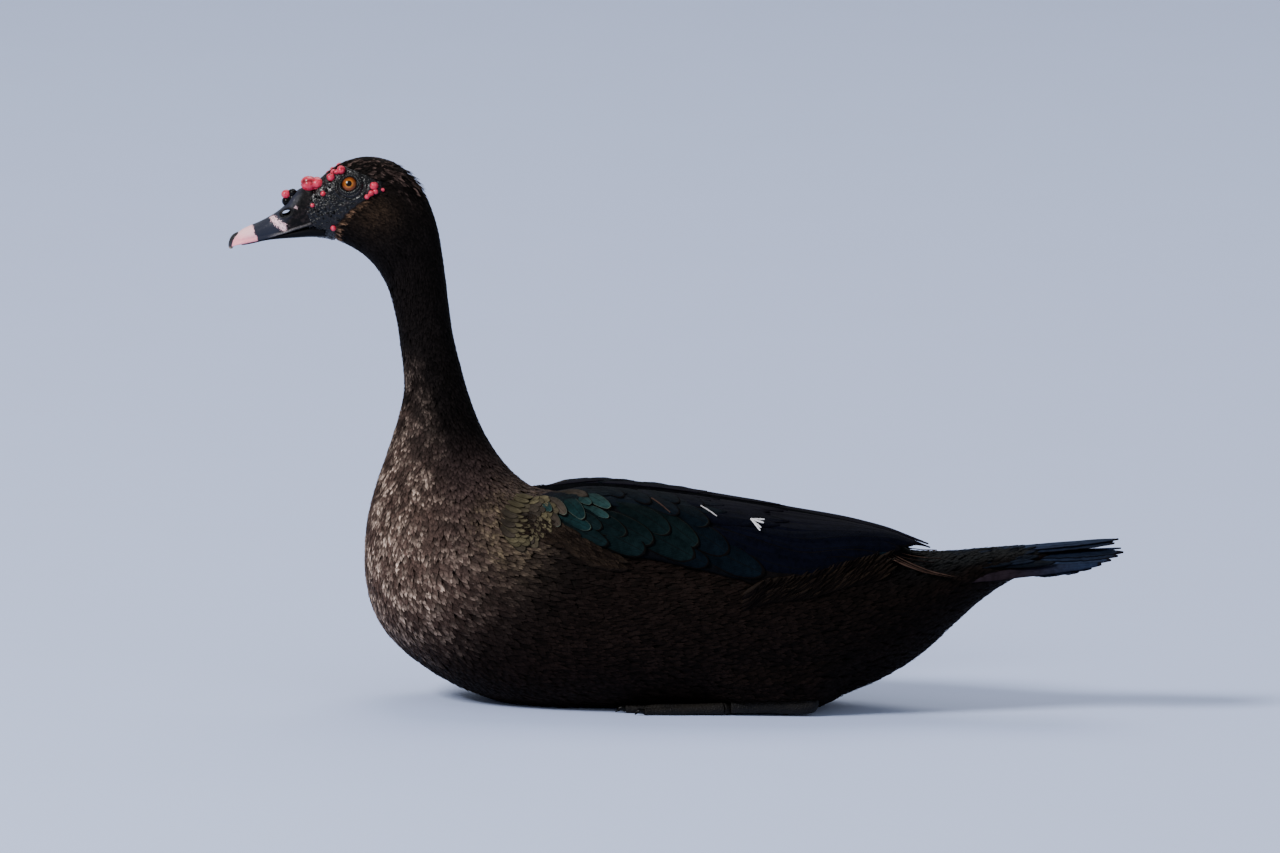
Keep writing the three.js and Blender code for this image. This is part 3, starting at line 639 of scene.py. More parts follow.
def eye_reach(t, angle):
    """Distance on the flesh from the eye on the same side."""
    t, angle = np.broadcast_arrays(np.asarray(t, float), np.asarray(angle, float))
    near = np.full(t.shape, 99.0)
    for side, _ in SIDES:
        _, _, per_t, per_angle = tangents(side)
        seat_t, seat_angle = EYE_SEAT[side]
        near = np.minimum(near, np.hypot((t - seat_t) * per_t, (angle - seat_angle) * per_angle))
    return near


def bareness(t, angle):
    """1 on the naked skin of the face, 0 where feathers grow."""
    points = flesh(t, angle)
    ragged = (cloud(points, 2.2, 5) - 0.5) * 1.6
    return 1 - smooth(-0.7, 0.7, border_distance(seen(points), BARE_FACE) + ragged)


def coat_depth(t):
    """How deep the feathers are over the skin."""
    return np.interp(t, [0, 4, 7, 11, 15, 18, 27, 31, 32], [0.8, 1.3, 1.6, 1.8, 2.6, 3.6, 3.6, 2.0, 1.0])


def linear(code):
    """Scene colour from a six-digit screen colour."""
    parts = [int(code[i:i + 2], 16) / 255 for i in (0, 2, 4)]
    return tuple(c / 12.92 if c <= 0.04045 else ((c + 0.055) / 1.055) ** 2.4 for c in parts)


def coat_colour(p, points, t, angle, mottling=0.4):
    """The plumage's colour at points of the flesh, by region, with blotches and pale mottling that is partly
    painted highlight.
    """
    flat = seen(points)
    x, z = flat[..., 0], flat[..., 1]
    back = np.cos(angle)  # 1 on the back, -1 on the belly
    blotch = cloud(points, 9.0, 11)
    speckle = cloud(points, 3.2, 12)

    def spot(at_x, at_z, wide, tall):
        """1 at a flat place, fading all round it."""
        return np.exp(-(((x - at_x) / wide) ** 2 + ((z - at_z) / tall) ** 2))

    widening = 0.5 * smooth(12.0, 17.0, t)
    front = 1 - smooth(-0.9 + widening, widening, back)
    chest = smooth(10.5, 17.5, t + 3.0 * (blotch - 0.5)) * (1 - smooth(17.5, 21.0, t)) * front
    chest = chest * (1 - 0.75 * (smooth(20, -10, z) * smooth(-90, -60, x)))
    # pale streaks of the breast: its own pale speckles, and painted highlights on glossy barbs, strongest
    # towards the front
    pale = smooth(0.3, 0.65, speckle) * smooth(0.2, 0.5, blotch) * (0.3 + 0.7 * smooth(-105, -170, x))
    shoulder = smooth(13.5, 16.0, t) * (1 - smooth(17.5, 20, t)) * (1 - front)
    cheek = spot(-197, 287, 15, 12) * (1 - smooth(4.5, 8.5, t))
    crown = (1 - smooth(5.5, 7.5, t)) * smooth(0.55, 0.9, back)
    streaks = smooth(0.5, 0.8, cloud(points * [0.6, 1.6, 1.0], 1.9, 15))
    fringe = smooth(3.2, 0.6, border_distance(flat, BARE_FACE)) * smooth(299, 286, z) * (1 - smooth(6, 8, t))
    tufts = smooth(0.3, 0.7, cloud(points, 1.6, 16))
    layers = (
        (p.coat_breast, chest),
        (p.coat_mottle_and_highlight, chest * pale * mottling),
        (p.coat_flank, smooth(18.5, 21.5, t) * (1 - smooth(28, 31, t))),
        (p.coat_shoulder, shoulder * (0.5 + 0.5 * blotch)),
        (p.coat_gold, spot(-98, 70, 20, 26) * (0.2 + 0.8 * speckle) * (0.3 + mottling) * smooth(12, 14, t)),
        (p.coat_rump, smooth(24, 28, t) * smooth(0.2, 0.8, back)),
        (p.coat_cheek, cheek * (0.35 + 0.65 * speckle)),
        (p.coat_crown, crown * streaks * (0.25 + 0.5 * speckle)),
        (p.coat_fringe, fringe * (0.15 + 0.85 * tufts)),
    )
    base = np.array(p.coat_dark)
    for colour, share in layers:
        base = lerp(base, np.array(colour), share[..., None])
    rear = 1 - 0.45 * smooth(22, 27, t)
    return base * rear[..., None] * (0.72 + 0.56 * cloud(points, 5.0, 13)[..., None])


# Small feathers

UNWRAP_T = ([0, HEAD_END, 12, 16, LAST], [0.03, 0.42, 0.53, 0.64, 0.97])
UNWRAP_ROUND = 0.94  # the share of the unwrap's height that the whole girth takes
PATCH = 0.003  # the size of one small feather on it


def unwrap(t, angle):
    """A place on the skin's own unwrap."""
    return np.stack([np.interp(t, *UNWRAP_T), 0.5 + angle / (2 * math.pi) * UNWRAP_ROUND], axis=-1)


def scatter(rng, t_from, t_to, pitch, row_share=0.8):
    """Roots of feathers in staggered rings, evenly spaced on the flesh at pitch(t)."""
    ts, angles = [], []
    ring = np.linspace(-math.pi, math.pi, 97)
    t, row = t_from, 0
    while t < t_to:
        _, _, along, around = flesh_frame(t, ring)
        stretch = np.linalg.norm(along, axis=-1)
        girth = np.linalg.norm(around, axis=-1)
        arc = np.concatenate([[0], np.cumsum((girth[1:] + girth[:-1]) / 2)])
        total = arc[-1] * (ring[1] - ring[0])
        gap = pitch(t)
        count = max(int(total / gap), 6)
        share = (np.arange(count) + 0.5 * (row % 2) + rng.uniform(-0.25, 0.25, count)) / count % 1
        angle = np.interp(share, arc / arc[-1], ring)
        step = gap * row_share / stretch.max()
        keep = rng.random(count) < np.interp(angle, ring, stretch) / stretch.max()
        ts.append((t + rng.uniform(-0.35, 0.35, count) * step)[keep])
        angles.append(angle[keep])
        t += step
        row += 1
    return np.clip(np.concatenate(ts), 0.05, LAST - 0.1), np.concatenate(angles)


def on_feathers(values):
    """Numbers of single feathers, for every point of each one."""
    return values[:, None, None]


def small_feathers(name, p, rng, t, angle, length, width, turn, rise, rows=6, columns=3):
    """One piece of many small vanes that lie along the flesh. rise is how far each tip stands out."""
    count = len(t)
    s = np.linspace(0, 1, rows)[None, :, None]
    w = np.linspace(-1, 1, columns)[None, None, :]
    root, _, along, around = flesh_frame(t, angle)
    per_t = on_feathers(np.linalg.norm(along, axis=-1))
    per_angle = on_feathers(np.linalg.norm(around, axis=-1))
    cos = on_feathers(np.cos(turn))
    sin = on_feathers(np.sin(turn) * np.where(angle < 0, -1, 1))
    reach = on_feathers(length) * s
    wide = on_feathers(width) * vane_width(s, SMALL) * w
    wide = wide * (1 + rng.uniform(-0.12, 0.12, (count, rows, 1)))
    sunk = -0.8 * (1 - s) ** 2.5 + 0.1 * s
    lift = on_feathers(coat_depth(t)) * (sunk + rng.uniform(-0.05, 0.05, (count, 1, 1)))
    lift = lift + on_feathers(rise) * s**1.5 - 0.12 * on_feathers(width) * w**2
    points = on_flesh(on_feathers(t) + (reach * cos - wide * sin) / per_t,
                      on_feathers(angle) + (reach * sin + wide * cos) / per_angle, lift)
    shade = rng.uniform(0.5, 1.5, (count, 1))
    body = coat_colour(p, root, t, angle, 0.0) * shade
    end = coat_colour(p, root, t, angle, rng.uniform(0.0, 1.0, count)) * shade * (1 + p.tip_glow)
    tip = smooth(0.5, 0.85, s)[..., None]
    colours = lerp(body[:, None, None, :], end[:, None, None, :], tip) * np.ones((1, 1, columns, 1))
    flat_s, flat_w = np.broadcast_arrays(s, w)
    bake = unwrap(t, angle)[:, None, None, :] + np.stack([flat_s - 0.5, flat_w / 2], axis=-1) * PATCH
    vane = np.broadcast_to(np.stack([flat_s, flat_w / 2 + 0.5], axis=-1), points.shape[:-1] + (2,))
    maps = {"OFBake": bake, "Vane": vane}
    made = add_mesh(name, points, grid_faces(rows, columns, count), maps, colours)
    return dress(made, material(coat_material), slot="plumage")


# Large feathers lie on a sheet, which turns a share along, a share across and a lift into places

# width at the root, share at which it is widest, share at which the tip starts to close, how blunt it is
SMALL = (0.5, 0.4, 0.5, 0.8)
ROUND = (0.6, 0.45, 0.55, 0.5)
POINTED = (0.4, 0.3, 0.45, 0.9)
SCAPULAR = (0.6, 0.4, 0.5, 0.7)
FLARED = (0.03, 0.8, 0.82, 0.8)
TAPERED = (0.5, 0.3, 0.5, 0.75)
VANE_THICK = 0.25
# what a large feather has where nothing else is given. lifts stand at its root and tip, tilt raises one
# edge, notch wears its border, camber bends its edges down, and edge is how strongly its rim shows
PLAIN_VANE = {"grid": (18, 11), "lifts": (-1.0, 0.8), "tilt": 0.0, "outline": ROUND, "notch": 0.03,
              "camber": 0.12, "edge": 1.0}


def vane_width(s, outline):
    root, widest, closing, blunt = outline
    opened = lerp(root, 1.0, smooth(0, widest, s))
    return opened * np.maximum(1 - np.clip((s - closing) / (1 - closing), 0, 1) ** 2, 0) ** blunt


def vane_grid(vane):
    """One large feather as a thin closed shell: the points of both faces, flat shares, and its length."""
    sheet, half = vane["sheet"], vane["half"]
    rows, columns = vane["grid"]
    rng = np.random.default_rng(vane["seed"])
    root, tip = np.asarray(vane["root"], float), np.asarray(vane["tip"], float)
    s = 1 - (1 - np.linspace(0, 1, rows)[:, None]) ** 1.6
    w = np.linspace(-1, 1, columns)[None, :]
    s, w = np.broadcast_arrays(s, w)
    step = 0.004
    u, v = lerp(root[0], tip[0], s), lerp(root[1], tip[1], s)
    here = sheet(u, v, 0.0)
    slope_u = (sheet(u + step, v, 0.0) - here) / step
    slope_v = (sheet(u, v + step, 0.0) - here) / step
    heading = slope_u * (tip[0] - root[0]) + slope_v * (tip[1] - root[1])
    across = np.cross(np.cross(slope_u, slope_v), heading)
    across /= np.linalg.norm(across, axis=-1, keepdims=True)
    wide = vane_width(s, vane["outline"]) * half + 0.05
    wide = wide * (1 - vane["notch"] * rng.random((rows, 1)) * smooth(0.25, 0.8, s))
    offset = across * (wide * w)[..., None]
    a = np.sum(slope_u**2, -1)
    b = np.sum(slope_u * slope_v, -1)
    c = np.sum(slope_v**2, -1)
    pu, pv = np.sum(slope_u * offset, -1), np.sum(slope_v * offset, -1)
    det = np.maximum(a * c - b * b, 1.0)
    shaft = 0.3 * np.exp(-(w / 0.09) ** 2) * (1 - s * 0.7)
    bowed = vane["camber"] * half * w**2 * (1 - 0.5 * s)
    lift = lerp(*vane["lifts"], s**0.75) + vane["tilt"] * w - bowed + shaft
    lift = lift + 0.08 * np.sin(w * 7 + s * 19 + rng.random() * 6)
    u, v = u + (c * pu - b * pv) / det, v + (a * pv - b * pu) / det
    over, under = sheet(u, v, lift), sheet(u, v, lift - VANE_THICK)
    return over, under, np.stack([s, w / 2 + 0.5], axis=-1), np.linalg.norm(here[-1, 0] - here[0, 0])


def shell_faces(rows, columns):
    """A grid, its underside and the rim between them."""
    over = grid_faces(rows, columns)
    under = over[:, ::-1] + rows * columns
    size = rows * columns
    border = np.concatenate([np.arange(columns - 1), np.arange(rows - 1) * columns + columns - 1,
                             rows * columns - 1 - np.arange(columns - 1),
                             (rows - 1 - np.arange(rows - 1)) * columns])
    after = np.roll(border, -1)
    rim = np.stack([border, border + size, after + size, after], axis=-1)
    return np.concatenate([over, under, rim])


def both_faces(over, under):
    """The points of a shell's upper side, then those of its underside."""
    return np.concatenate([over.reshape(-1, 3), under.reshape(-1, 3)])


def large_feathers(name, finish, vanes, slot="wing_plumage"):
    """One piece of large vanes. Each is a dict of a sheet, its shape and its colours."""
    points, faces, bakes, shares, colours, lengths, edges = [], [], [], [], [], [], []
    cells = math.ceil(math.sqrt(len(vanes)))
    offset = 0
    for i, given in enumerate(vanes):
        vane = {**PLAIN_VANE, **given}
        over, under, share, length = vane_grid(vane)
        count = 2 * share.shape[0] * share.shape[1]
        points.append(both_faces(over, under))
        faces.append(shell_faces(*vane["grid"]) + offset)
        offset += count
        shares.append(np.tile(share.reshape(-1, 2), (2, 1)))
        half_cell = (share * np.array([0.94, 0.45]) + 0.02).reshape(-1, 2)
        cell = np.array([i % cells, i // cells]) / cells
        bakes.append(np.concatenate([half_cell, half_cell + [0, 0.5]]) / cells + cell)
        s, w = share[..., 0:1], np.abs(share[..., 1:2] * 2 - 1)
        near, far = np.array(vane["colour"]), np.array(vane.get("far", vane["colour"]))
        colour = lerp(near, far, smooth(0.3, 1.0, s))
        colour = colour * (0.85 + 0.3 * cloud(over, 6.0, 3)[..., None]) * (1 - 0.25 * w)
        colours.append(np.tile(colour.reshape(-1, 3), (2, 1)))
        lengths.append(np.full(count, length))
        edges.append(np.full(count, vane["edge"]))
    maps = {"OFBake": np.concatenate(bakes), "Vane": np.concatenate(shares)}
    values = {"Length": np.concatenate(lengths), "Edge": np.concatenate(edges)}
    joined = np.concatenate(points), np.concatenate(faces), maps, np.concatenate(colours), values
    return dress(add_mesh(name, *joined), material(finish), slot=slot)


# The folded wing's sheet

# inner x and y near the spine, outer x and height down the flank, and the lifts over the skin at the inner
# edge, the ridge and the outer edge
WING = np.array([
    (-82, 34, -88, 80, 1, 1, 0.1), (-70, 20, -72, 66, 4, 5.5, 0.4), (-45, 13, -42, 60, 7, 10.5, 1.8),
    (-5, 12, 0, 56, 8, 12, 4), (30, 10, 38, 49, 9, 12, 4), (62, 8, 66, 43, 10, 12, 4),
    (100, 6, 105, 38, 11, 12.5, 4), (138, 4.5, 140, 48.5, 12.5, 14, 4.5), (168, 3.5, 168, 53.5, 12, 13, 5),
    (188, 5, 187, 54, 8.5, 9, 5), (203, 9, 200, 55.5, 4.5, 5, 4),
])
RIDGE = 0.32  # where across the wing its ridge lies
WING_SUNK = 3.0  # how far its bed reaches under the skin
WING_END = 0.985  # past this share the feathers run straight on
FIND_ALONG, FIND_ACROSS = 240, 120  # the grid in which a flat place is looked up, and where it starts
FIND_FROM = 0.1
TURNED_AWAY = 200  # below this the wing is seen too flatly for a closer look


class WingSheet:
    """Turns shares along and across the folded wing, and a lift, into places."""

    def __init__(self, side):
        self.side = side
        self.inner = np.array([seek(side, x=row[0], y=side * row[1]) for row in WING])
        self.outer = np.array([seek(side, x=row[2], z=row[3]) for row in WING])
        u, v = np.meshgrid(np.linspace(0, 1, FIND_ALONG + 1), np.linspace(FIND_FROM, 1, FIND_ACROSS + 1),
                           indexing="ij")
        self.u, self.v = u, v
        self.flat = seen(self.over(u, v, 0.0))

    def on_skin(self, u, v, lift):
        last = len(WING) - 1
        place = lerp(spline(self.inner, u * last), spline(self.outer, u * last), v[..., None])
        return on_flesh(place[..., 0], place[..., 1], lift)

    def over(self, u, v, lift):
        low, ridge, edge = np.moveaxis(spline(WING[:, 4:], u * (len(WING) - 1)), -1, 0)
        inner = v < RIDGE
        border = np.where(inner, low, edge)
        share = np.where(inner, v / RIDGE, (1 - v) / (1 - RIDGE))
        return self.on_skin(u, v, lerp(border, ridge, np.sin(np.clip(share, -0.1, 1) * math.pi / 2)) + lift)

    def __call__(self, u, v, lift):
        """The feathers' side, which runs straight on past the wing's own ends."""
        u, v, lift = np.broadcast_arrays(np.asarray(u, float), np.asarray(v, float), np.asarray(lift, float))
        cu, cv = np.clip(u, 0, WING_END), np.clip(v, 0.0, 1.0)
        step = 0.015
        at = self.over(cu, cv, lift)
        run_u = (at - self.over(cu - step, cv, lift)) / step
        run_v = (at - self.over(cu, cv - step, lift)) / step
        past_u, past_v = np.maximum(u - cu, 0)[..., None], np.maximum(v - cv, 0)[..., None]
        return at + run_u * past_u + run_v * past_v

    def find(self, x, z):
        """The shares at which the wing shows a flat x and height."""
        far = (self.flat[..., 0] - x) ** 2 + (self.flat[..., 1] - z) ** 2
        i, j = np.unravel_index(np.argmin(far), far.shape)
        here = np.array([self.u[i, j], self.v[i, j]])
        i, j = min(max(i, 1), FIND_ALONG - 1), min(max(j, 1), FIND_ACROSS - 1)
        slope_u = (self.flat[i + 1, j] - self.flat[i - 1, j]) / (2 / FIND_ALONG)
        slope_v = (self.flat[i, j + 1] - self.flat[i, j - 1]) / (2 * (1 - FIND_FROM) / FIND_ACROSS)
        slope = np.column_stack([slope_u, slope_v])
        gap = np.array([x, z]) - self.flat[i, j]
        if abs(np.linalg.det(slope)) > TURNED_AWAY:
            here = np.array([self.u[i, j], self.v[i, j]]) + np.clip(np.linalg.solve(slope, gap), -0.15, 0.15)
        return np.maximum(here, 0.005)


SHEETS = {side: WingSheet(side) for side, _ in SIDES}

# Coverts one by one: flat x and height of root and tip, half width, and colour
GREATER = [(48.0, 56.2, 87.3, 38.2, 9.6, "covert_deep"), (19.9, 55.4, 46.3, 45.0, 6.8, "covert_deep"),
           (25.4, 72.8, 61.8, 51.6, 9.6, "covert_deep"), (-1.5, 65.9, 36.1, 48.8, 9.2, "covert_teal"),
           (-28.7, 67.1, 3.9, 51.3, 8.8, "covert_teal"), (-49.8, 68.5, -22.3, 56.2, 5.6, "covert_teal")]
MEDIAN = [(15.0, 85.6, 47.5, 71.4, 8.4, "covert_deep"), (11.2, 76.4, 38.9, 57.0, 8.0, "covert_teal"),
          (-10.0, 81.9, 21.2, 64.6, 8.4, "covert_teal"), (-22.9, 74.4, 5.7, 58.0, 8.0, "covert_teal"),
          (-38.0, 75.9, -12.1, 63.6, 7.6, "covert_teal"), (-48.1, 76.7, -27.7, 67.7, 5.6, "covert_teal")]
# the jade lesser coverts are their own green with a painted glint
LESSER = [(-52.0, 74.5, -35.7, 66.9, 4.4, "covert_bright"), (-37.6, 82.0, -26.5, 75.7, 3.0, "covert_jade"),
          (-38.4, 90.5, -20.7, 81.5, 4.8, "covert_jade"), (-46.4, 89.9, -35.0, 83.7, 3.4, "covert_jade"),
          (-57.4, 85.5, -41.3, 72.8, 5.4, "covert_bright"), (-66.4, 85.6, -53.6, 75.5, 4.4, "covert_moss"),
          (-68.0, 78.0, -56.0, 68.0, 4.2, "covert_moss"), (-77.4, 85.3, -63.2, 77.6, 4.0, "covert_jade")]
# the shoulder's field of small round scales, by the flat places of its corners
SHOULDER = [(-98, 78), (-90, 92), (-74, 92), (-64, 84), (-66, 72), (-76, 60), (-88, 54), (-97, 64)]
SCALE_STEP = 5.2
# brown feathers of the flank lie over the wing's lower front corner, below this flat line
SLEEVE = ([-88, -73, -55, -46, -34, -20], [76, 72, 67, 60, 53, 47])
# and over its lower rear edge, below this one
HEM = ([60, 78, 88, 110, 125, 139, 158, 176], [22, 31, 33.5, 36, 39.5, 44.6, 49, 51.5])
UPPER = [(15.7, 94.8, 40.1, 84.4, 7.2, "tertial"), (2.8, 89.3, 27.3, 77.9, 6.8, "scapular"),
         (-3.4, 96.2, 22.0, 86.9, 6.8, "scapular"), (-22.5, 95.1, 3.3, 85.7, 6.4, "scapular"),
         (-38.0, 96.5, -14.0, 90.0, 5.6, "scapular"), (-58.0, 94.0, -38.0, 89.5, 4.6, "covert_moss")]


# What a user may change

def hue(name, description, code):
    """A colour that a user may change."""
    return bpy.props.FloatVectorProperty(
        name=name, description=description, subtype="COLOR", size=3, min=0.0, max=1.0, default=linear(code))


def measure(name, description, millimetres):
    """A length that a user may change."""
    return bpy.props.FloatProperty(
        name=name, description=description, unit="LENGTH", min=0.0, precision=4, default=millimetres * MM)


class DuckColours(bpy.types.PropertyGroup):
    """Colours of the plumage, the bare skin, the bill and the eye."""
    coat_dark: hue("Plumage", "Small feathers of head and neck", "0d0a09")
    coat_breast: hue("Breast", "Breast and the front of the neck", "3e302a")
    # pale speckles of the breast, which also serve as painted highlights on its glossy barbs
    coat_mottle_and_highlight: hue("Mottling", "Pale streaks of the breast", "a59080")
    coat_flank: hue("Flank", "Flanks and belly", "100a08")
    coat_shoulder: hue("Shoulder", "Gloss at the root of the neck", "362a28")
    sleeve_brown: hue("Flank before the wing", "Brown feathers over the wing's front corner", "211913")
    coat_gold: hue("Shoulder's gold", "Olive gloss before the wing", "665944")
    coat_rump: hue("Rump", "Rump and the tail's coverts", "06090c")
    coat_cheek: hue("Cheek", "Brown of the cheek", "2c2118")
    coat_crown: hue("Crown", "Pale streaks of the crown", "5c4a44")
    coat_fringe: hue("Fringe", "Feathers along the bare face", "6f5440")
    coat_sheen: hue("Feather sheen", "Soft light on the small feathers", "b9a48c")
    tip_glow: bpy.props.FloatProperty(
        name="Tip glow", description="How much lighter the small tips are", min=0.0, max=2.0, default=0.6)
    vane_edge: hue("Vane edge", "Dull rim of the large feathers", "0c0807")
    vane_line: hue("Vane line", "Pale line inside the rim of the shoulder's coverts", "6d7d6c")
    covert_small: hue("Lesser coverts", "Olive scales of the shoulder", "534c39")
    covert_moss: hue("Moss coverts", "Brown scales of the shoulder", "3a332c")
    # the coverts' own green with a painted glint
    covert_jade: hue("Jade coverts", "The brightest coverts", "1f3433")
    covert_bright: hue("Brighter coverts", "Blue-green coverts near the shoulder", "14292a")
    covert_teal: hue("Coverts", "Teal coverts of the wing", "0d191a")
    covert_deep: hue("Deep coverts", "Lowest coverts", "081016")
    scapular: hue("Scapulars", "Blue-grey feathers of the shoulder", "0c1218")
    tertial: hue("Tertials", "Long inner feathers of the wing", "080a15")
    tertial_edge: hue("Upper tertials", "The feathers nearest the spine", "0c0a15")
    quill: hue("Flight feathers", "Blue-green flight feathers", "0a1a22")
    worn: hue("Worn feathers", "Brown primaries", "4e3b33")
    white_fleck: hue("White fleck", "The small white covert", "f2f0f0")
    tail: hue("Tail", "Long feathers of the tail", "242e43")
    tail_rim: hue("Tail's outer feather", "Purple-grey line along the tail", "231c22")
    bill_pink: hue("Bill's front", "Pink behind the nail", "ffa3ac")
    bill_pale: hue("Bill's pale patch", "Pinkish white", "ffd0d3")
    bill_slate: hue("Bill's band", "Slate band and the lower bill", "2a2c36")
    bill_lip: hue("Bill's lip", "Pale line along the mouth", "8d8683")
    face_dark: hue("Bare skin", "Black skin of the face", "080708")
    face_pale: hue("Bare skin's sheen", "Grey where the skin is stretched", "241d1d")
    nail_dark: hue("Nail", "Dark front of the nail", "1d1819")
    nail_tip: hue("Nail's tip", "Tan tip", "a08468")
    caruncle_red: hue("Caruncles", "Red bulbs", "b8142b")
    caruncle_pink: hue("Stretched caruncles", "Pinker tops of the bulbs", "dc3f5c")
    # painted shade of the caruncles' creases
    caruncle_crease_shade: hue("Caruncles' creases", "Dark red creases", "6a0a18")
    iris_inner: hue("Iris, inside", "Pale ring round the pupil", "a8621c")
    iris_outer: hue("Iris, outside", "Amber", "692f08")
    iris_ray: hue("Iris rays", "Darker rays", "4e260a")
    iris_rim: hue("Iris rim", "Brown rim", "221006")
    foot_dark: hue("Feet", "Dark skin", "100e0d")
    foot_pale: hue("Feet, pale", "Greyer skin", "1d1a17")
    floor_colour: hue("Floor", "Plain pale floor", "c6d4fb")


class DuckSizes(bpy.types.PropertyGroup):
    """Sizes of the feathers and of the eye."""
    head_pitch: measure("Head feathers", "Distance between feathers of the head", 1.3)
    neck_pitch: measure("Neck feathers", "Distance between feathers of the neck", 1.7)
    breast_pitch: measure("Breast feathers", "Distance between feathers of the breast", 2.1)
    body_pitch: measure("Body feathers", "Distance between feathers of the body", 3.0)
    iris: measure("Iris", "Radius of the iris", IRIS)


def colours():
    return bpy.context.scene.duck_colours


def sizes():
    return bpy.context.scene.duck_sizes


# each group of feathers is scattered from its own seed
SEEDS = {"coat": 7, "shoulder": 23, "sleeve": 29, "hem": 37, "tail": 500, "tail coverts": 91}
MADE = {}


def material(make):
    """Each finish is made once."""
    if make.__name__ not in MADE:
        MADE[make.__name__] = make(colours())
    return MADE[make.__name__]


class DUCK_OT_skin(bpy.types.Operator):
    """One skin from the bill's base to the tail, with the bare face's pores and folds"""
    bl_idname = "duck.skin"
    bl_label = "Skin"

    COLUMNS = 256
    HEAD_ROWS, BODY_ROWS = 200, 160
    UNDER_COAT = 0.6  # how much darker the skin is than the feathers over it

    def execute(self, context):
        t = np.concatenate([np.linspace(0.02, HEAD_END, self.HEAD_ROWS, endpoint=False),
                            np.linspace(HEAD_END, LAST - 0.02, self.BODY_ROWS)])
        angle = np.linspace(-math.pi, math.pi, self.COLUMNS + 1)
        t, angle = np.meshgrid(t, angle, indexing="ij")
        points = flesh(t, angle)
        bare = bareness(t, angle)
        eye = eye_reach(t, angle)
        flat = seen(points)
        lores = smooth(-214, -224, flat[..., 0]) * smooth(303, 297, flat[..., 1])
        pimples = smooth(0.62, 0.1, pebbles(points, 1.9, 21)) * 0.45 * (0.3 + lores)
        fold_zone = smooth(6.6, 8.0, eye) * smooth(15, 9.5, eye)
        folds = 0.5 * np.sin(eye * 2.3 + 3 * cloud(points, 7, 4)) * fold_zone * smooth(312, 306, flat[..., 1])
        creases = (cloud(points, 2.6, 8) - 0.5) * 0.7
        bowl = -1.1 * smooth(5.6, 3.5, eye)
        lift = lerp(-coat_depth(t), 0.1 + pimples + folds + creases, bare) + bowl
        surface = on_flesh(t, angle, lift)
        colour = coat_colour(colours(), points, t, angle) * self.UNDER_COAT
        maps = {"OFBake": unwrap(t, angle)}
        made = add_mesh("skin", surface, grid_faces(*t.shape), maps, colour, {"Bare": bare})
        under = ("head", "neck_upper", "neck_lower", "torso", "rump")
        dress(made, material(skin_material), *under, slot="plumage")
        return {"FINISHED"}


class DUCK_OT_coat(bpy.types.Operator):
    """Small feathers of the head, neck, breast, flanks, belly, back and rump"""
    bl_idname = "duck.coat"
    bl_label = "Coat"

    BELLY = -0.62  # the cosine of the angle at which the flanks end

    def pitch(self, t):
        s = sizes()
        stops = [s.head_pitch] * 2 + [s.neck_pitch] * 2 + [s.breast_pitch] + [s.body_pitch] * 2
        return float(np.interp(t, [0, 5, 8, 12, 16, 20, LAST], stops)) / MM

    def execute(self, context):
        rng = np.random.default_rng(SEEDS["coat"])
        t, angle = scatter(rng, 0.3, LAST - 0.15, self.pitch)
        bare = bareness(t, angle)
        covered = np.zeros(len(t), bool)
        even = [1.0, 8.0]  # makes a step of t and one of the angle about the same
        for sheet in SHEETS.values():
            outline = np.concatenate([sheet.inner, sheet.outer[::-1]])
            covered |= border_distance(np.stack([t, angle], axis=-1) * even, outline * even) < -0.5
        covered |= border_distance(seen(flesh(t, angle)), SHOULDER) < -2.0
        under_eye = eye_reach(t, angle) < 8.5
        keep = (bare < 0.35) & ~covered & ~under_eye
        t, angle = t[keep], angle[keep]
        gap = np.array([self.pitch(value) for value in t])
        from_face = np.where(t < HEAD_END, border_distance(seen(flesh(t, angle)), BARE_FACE), 9.0)
        grow = lerp(0.62, 1.0, smooth(0, 6, from_face))
        crest = bump_at(t, 5.6, 0.8) * smooth(0.7, 0.97, np.cos(angle)) * (rng.random(len(t)) < 0.3)
        length = gap * rng.uniform(3.2, 4.6, len(t)) * grow * (1 + 1.3 * crest)
        width = gap * rng.uniform(0.48, 0.68, len(t)) * grow
        turn = rng.normal(0, 0.13, len(t))
        ragged = rng.random(len(t)) ** 4
        rise = 0.2 * gap * ragged + crest * rng.uniform(0.5, 4.0, len(t))
        left, flank = angle < 0, np.cos(angle) > self.BELLY
        breast, body = (t >= 15) & (t < 21), t >= 21
        regions = {
            "coat_head": t < 4.6,
            "coat_nape": (t >= 4.6) & (t < 8),
            "coat_neck": (t >= 8) & (t < 15),
            "coat_breast_left": breast & left,
            "coat_breast_right": breast & ~left,
            "coat_flank_left": body & left & flank,
            "coat_flank_right": body & ~left & flank,
            "coat_belly": body & ~flank,
        }
        shapes = (t, angle, length, width, turn, rise)
        for name, chosen in regions.items():
            small_feathers(name, colours(), rng, *(values[chosen] for values in shapes))
        return {"FINISHED"}


def mixed(first, second, share):
    return tuple(lerp(np.array(first), np.array(second), share))


def dimmed(colour, share):
    return tuple(part * share for part in colour)


# worn feathers that stand out past the wing: flat root and tip, half width, lifts, and whether in shade
STRAYS = [((166, 56.2), (220.3, 38.6), 0.9, (3.0, 3.6), False),
          ((165, 55.2), (215.5, 38.4), 1.1, (2.8, 3.2), True),
          ((164, 53.8), (207.5, 39.4), 1.3, (2.6, 2.9), False),
          ((178, 54.0), (209.5, 50.4), 0.9, (2.2, 2.6), False),
          ((176, 52.5), (204.5, 47.6), 0.7, (2.2, 2.6), True)]
# the white fleck's strands: flat tips and half widths, from one root
FLECK_ROOT = (73.3, 76.6)
FLECK_TIPS = [((86.9, 75.3), 0.4), ((86.4, 73.0), 0.6), ((84.6, 69.6), 0.4), ((84.0, 67.6), 0.4)]


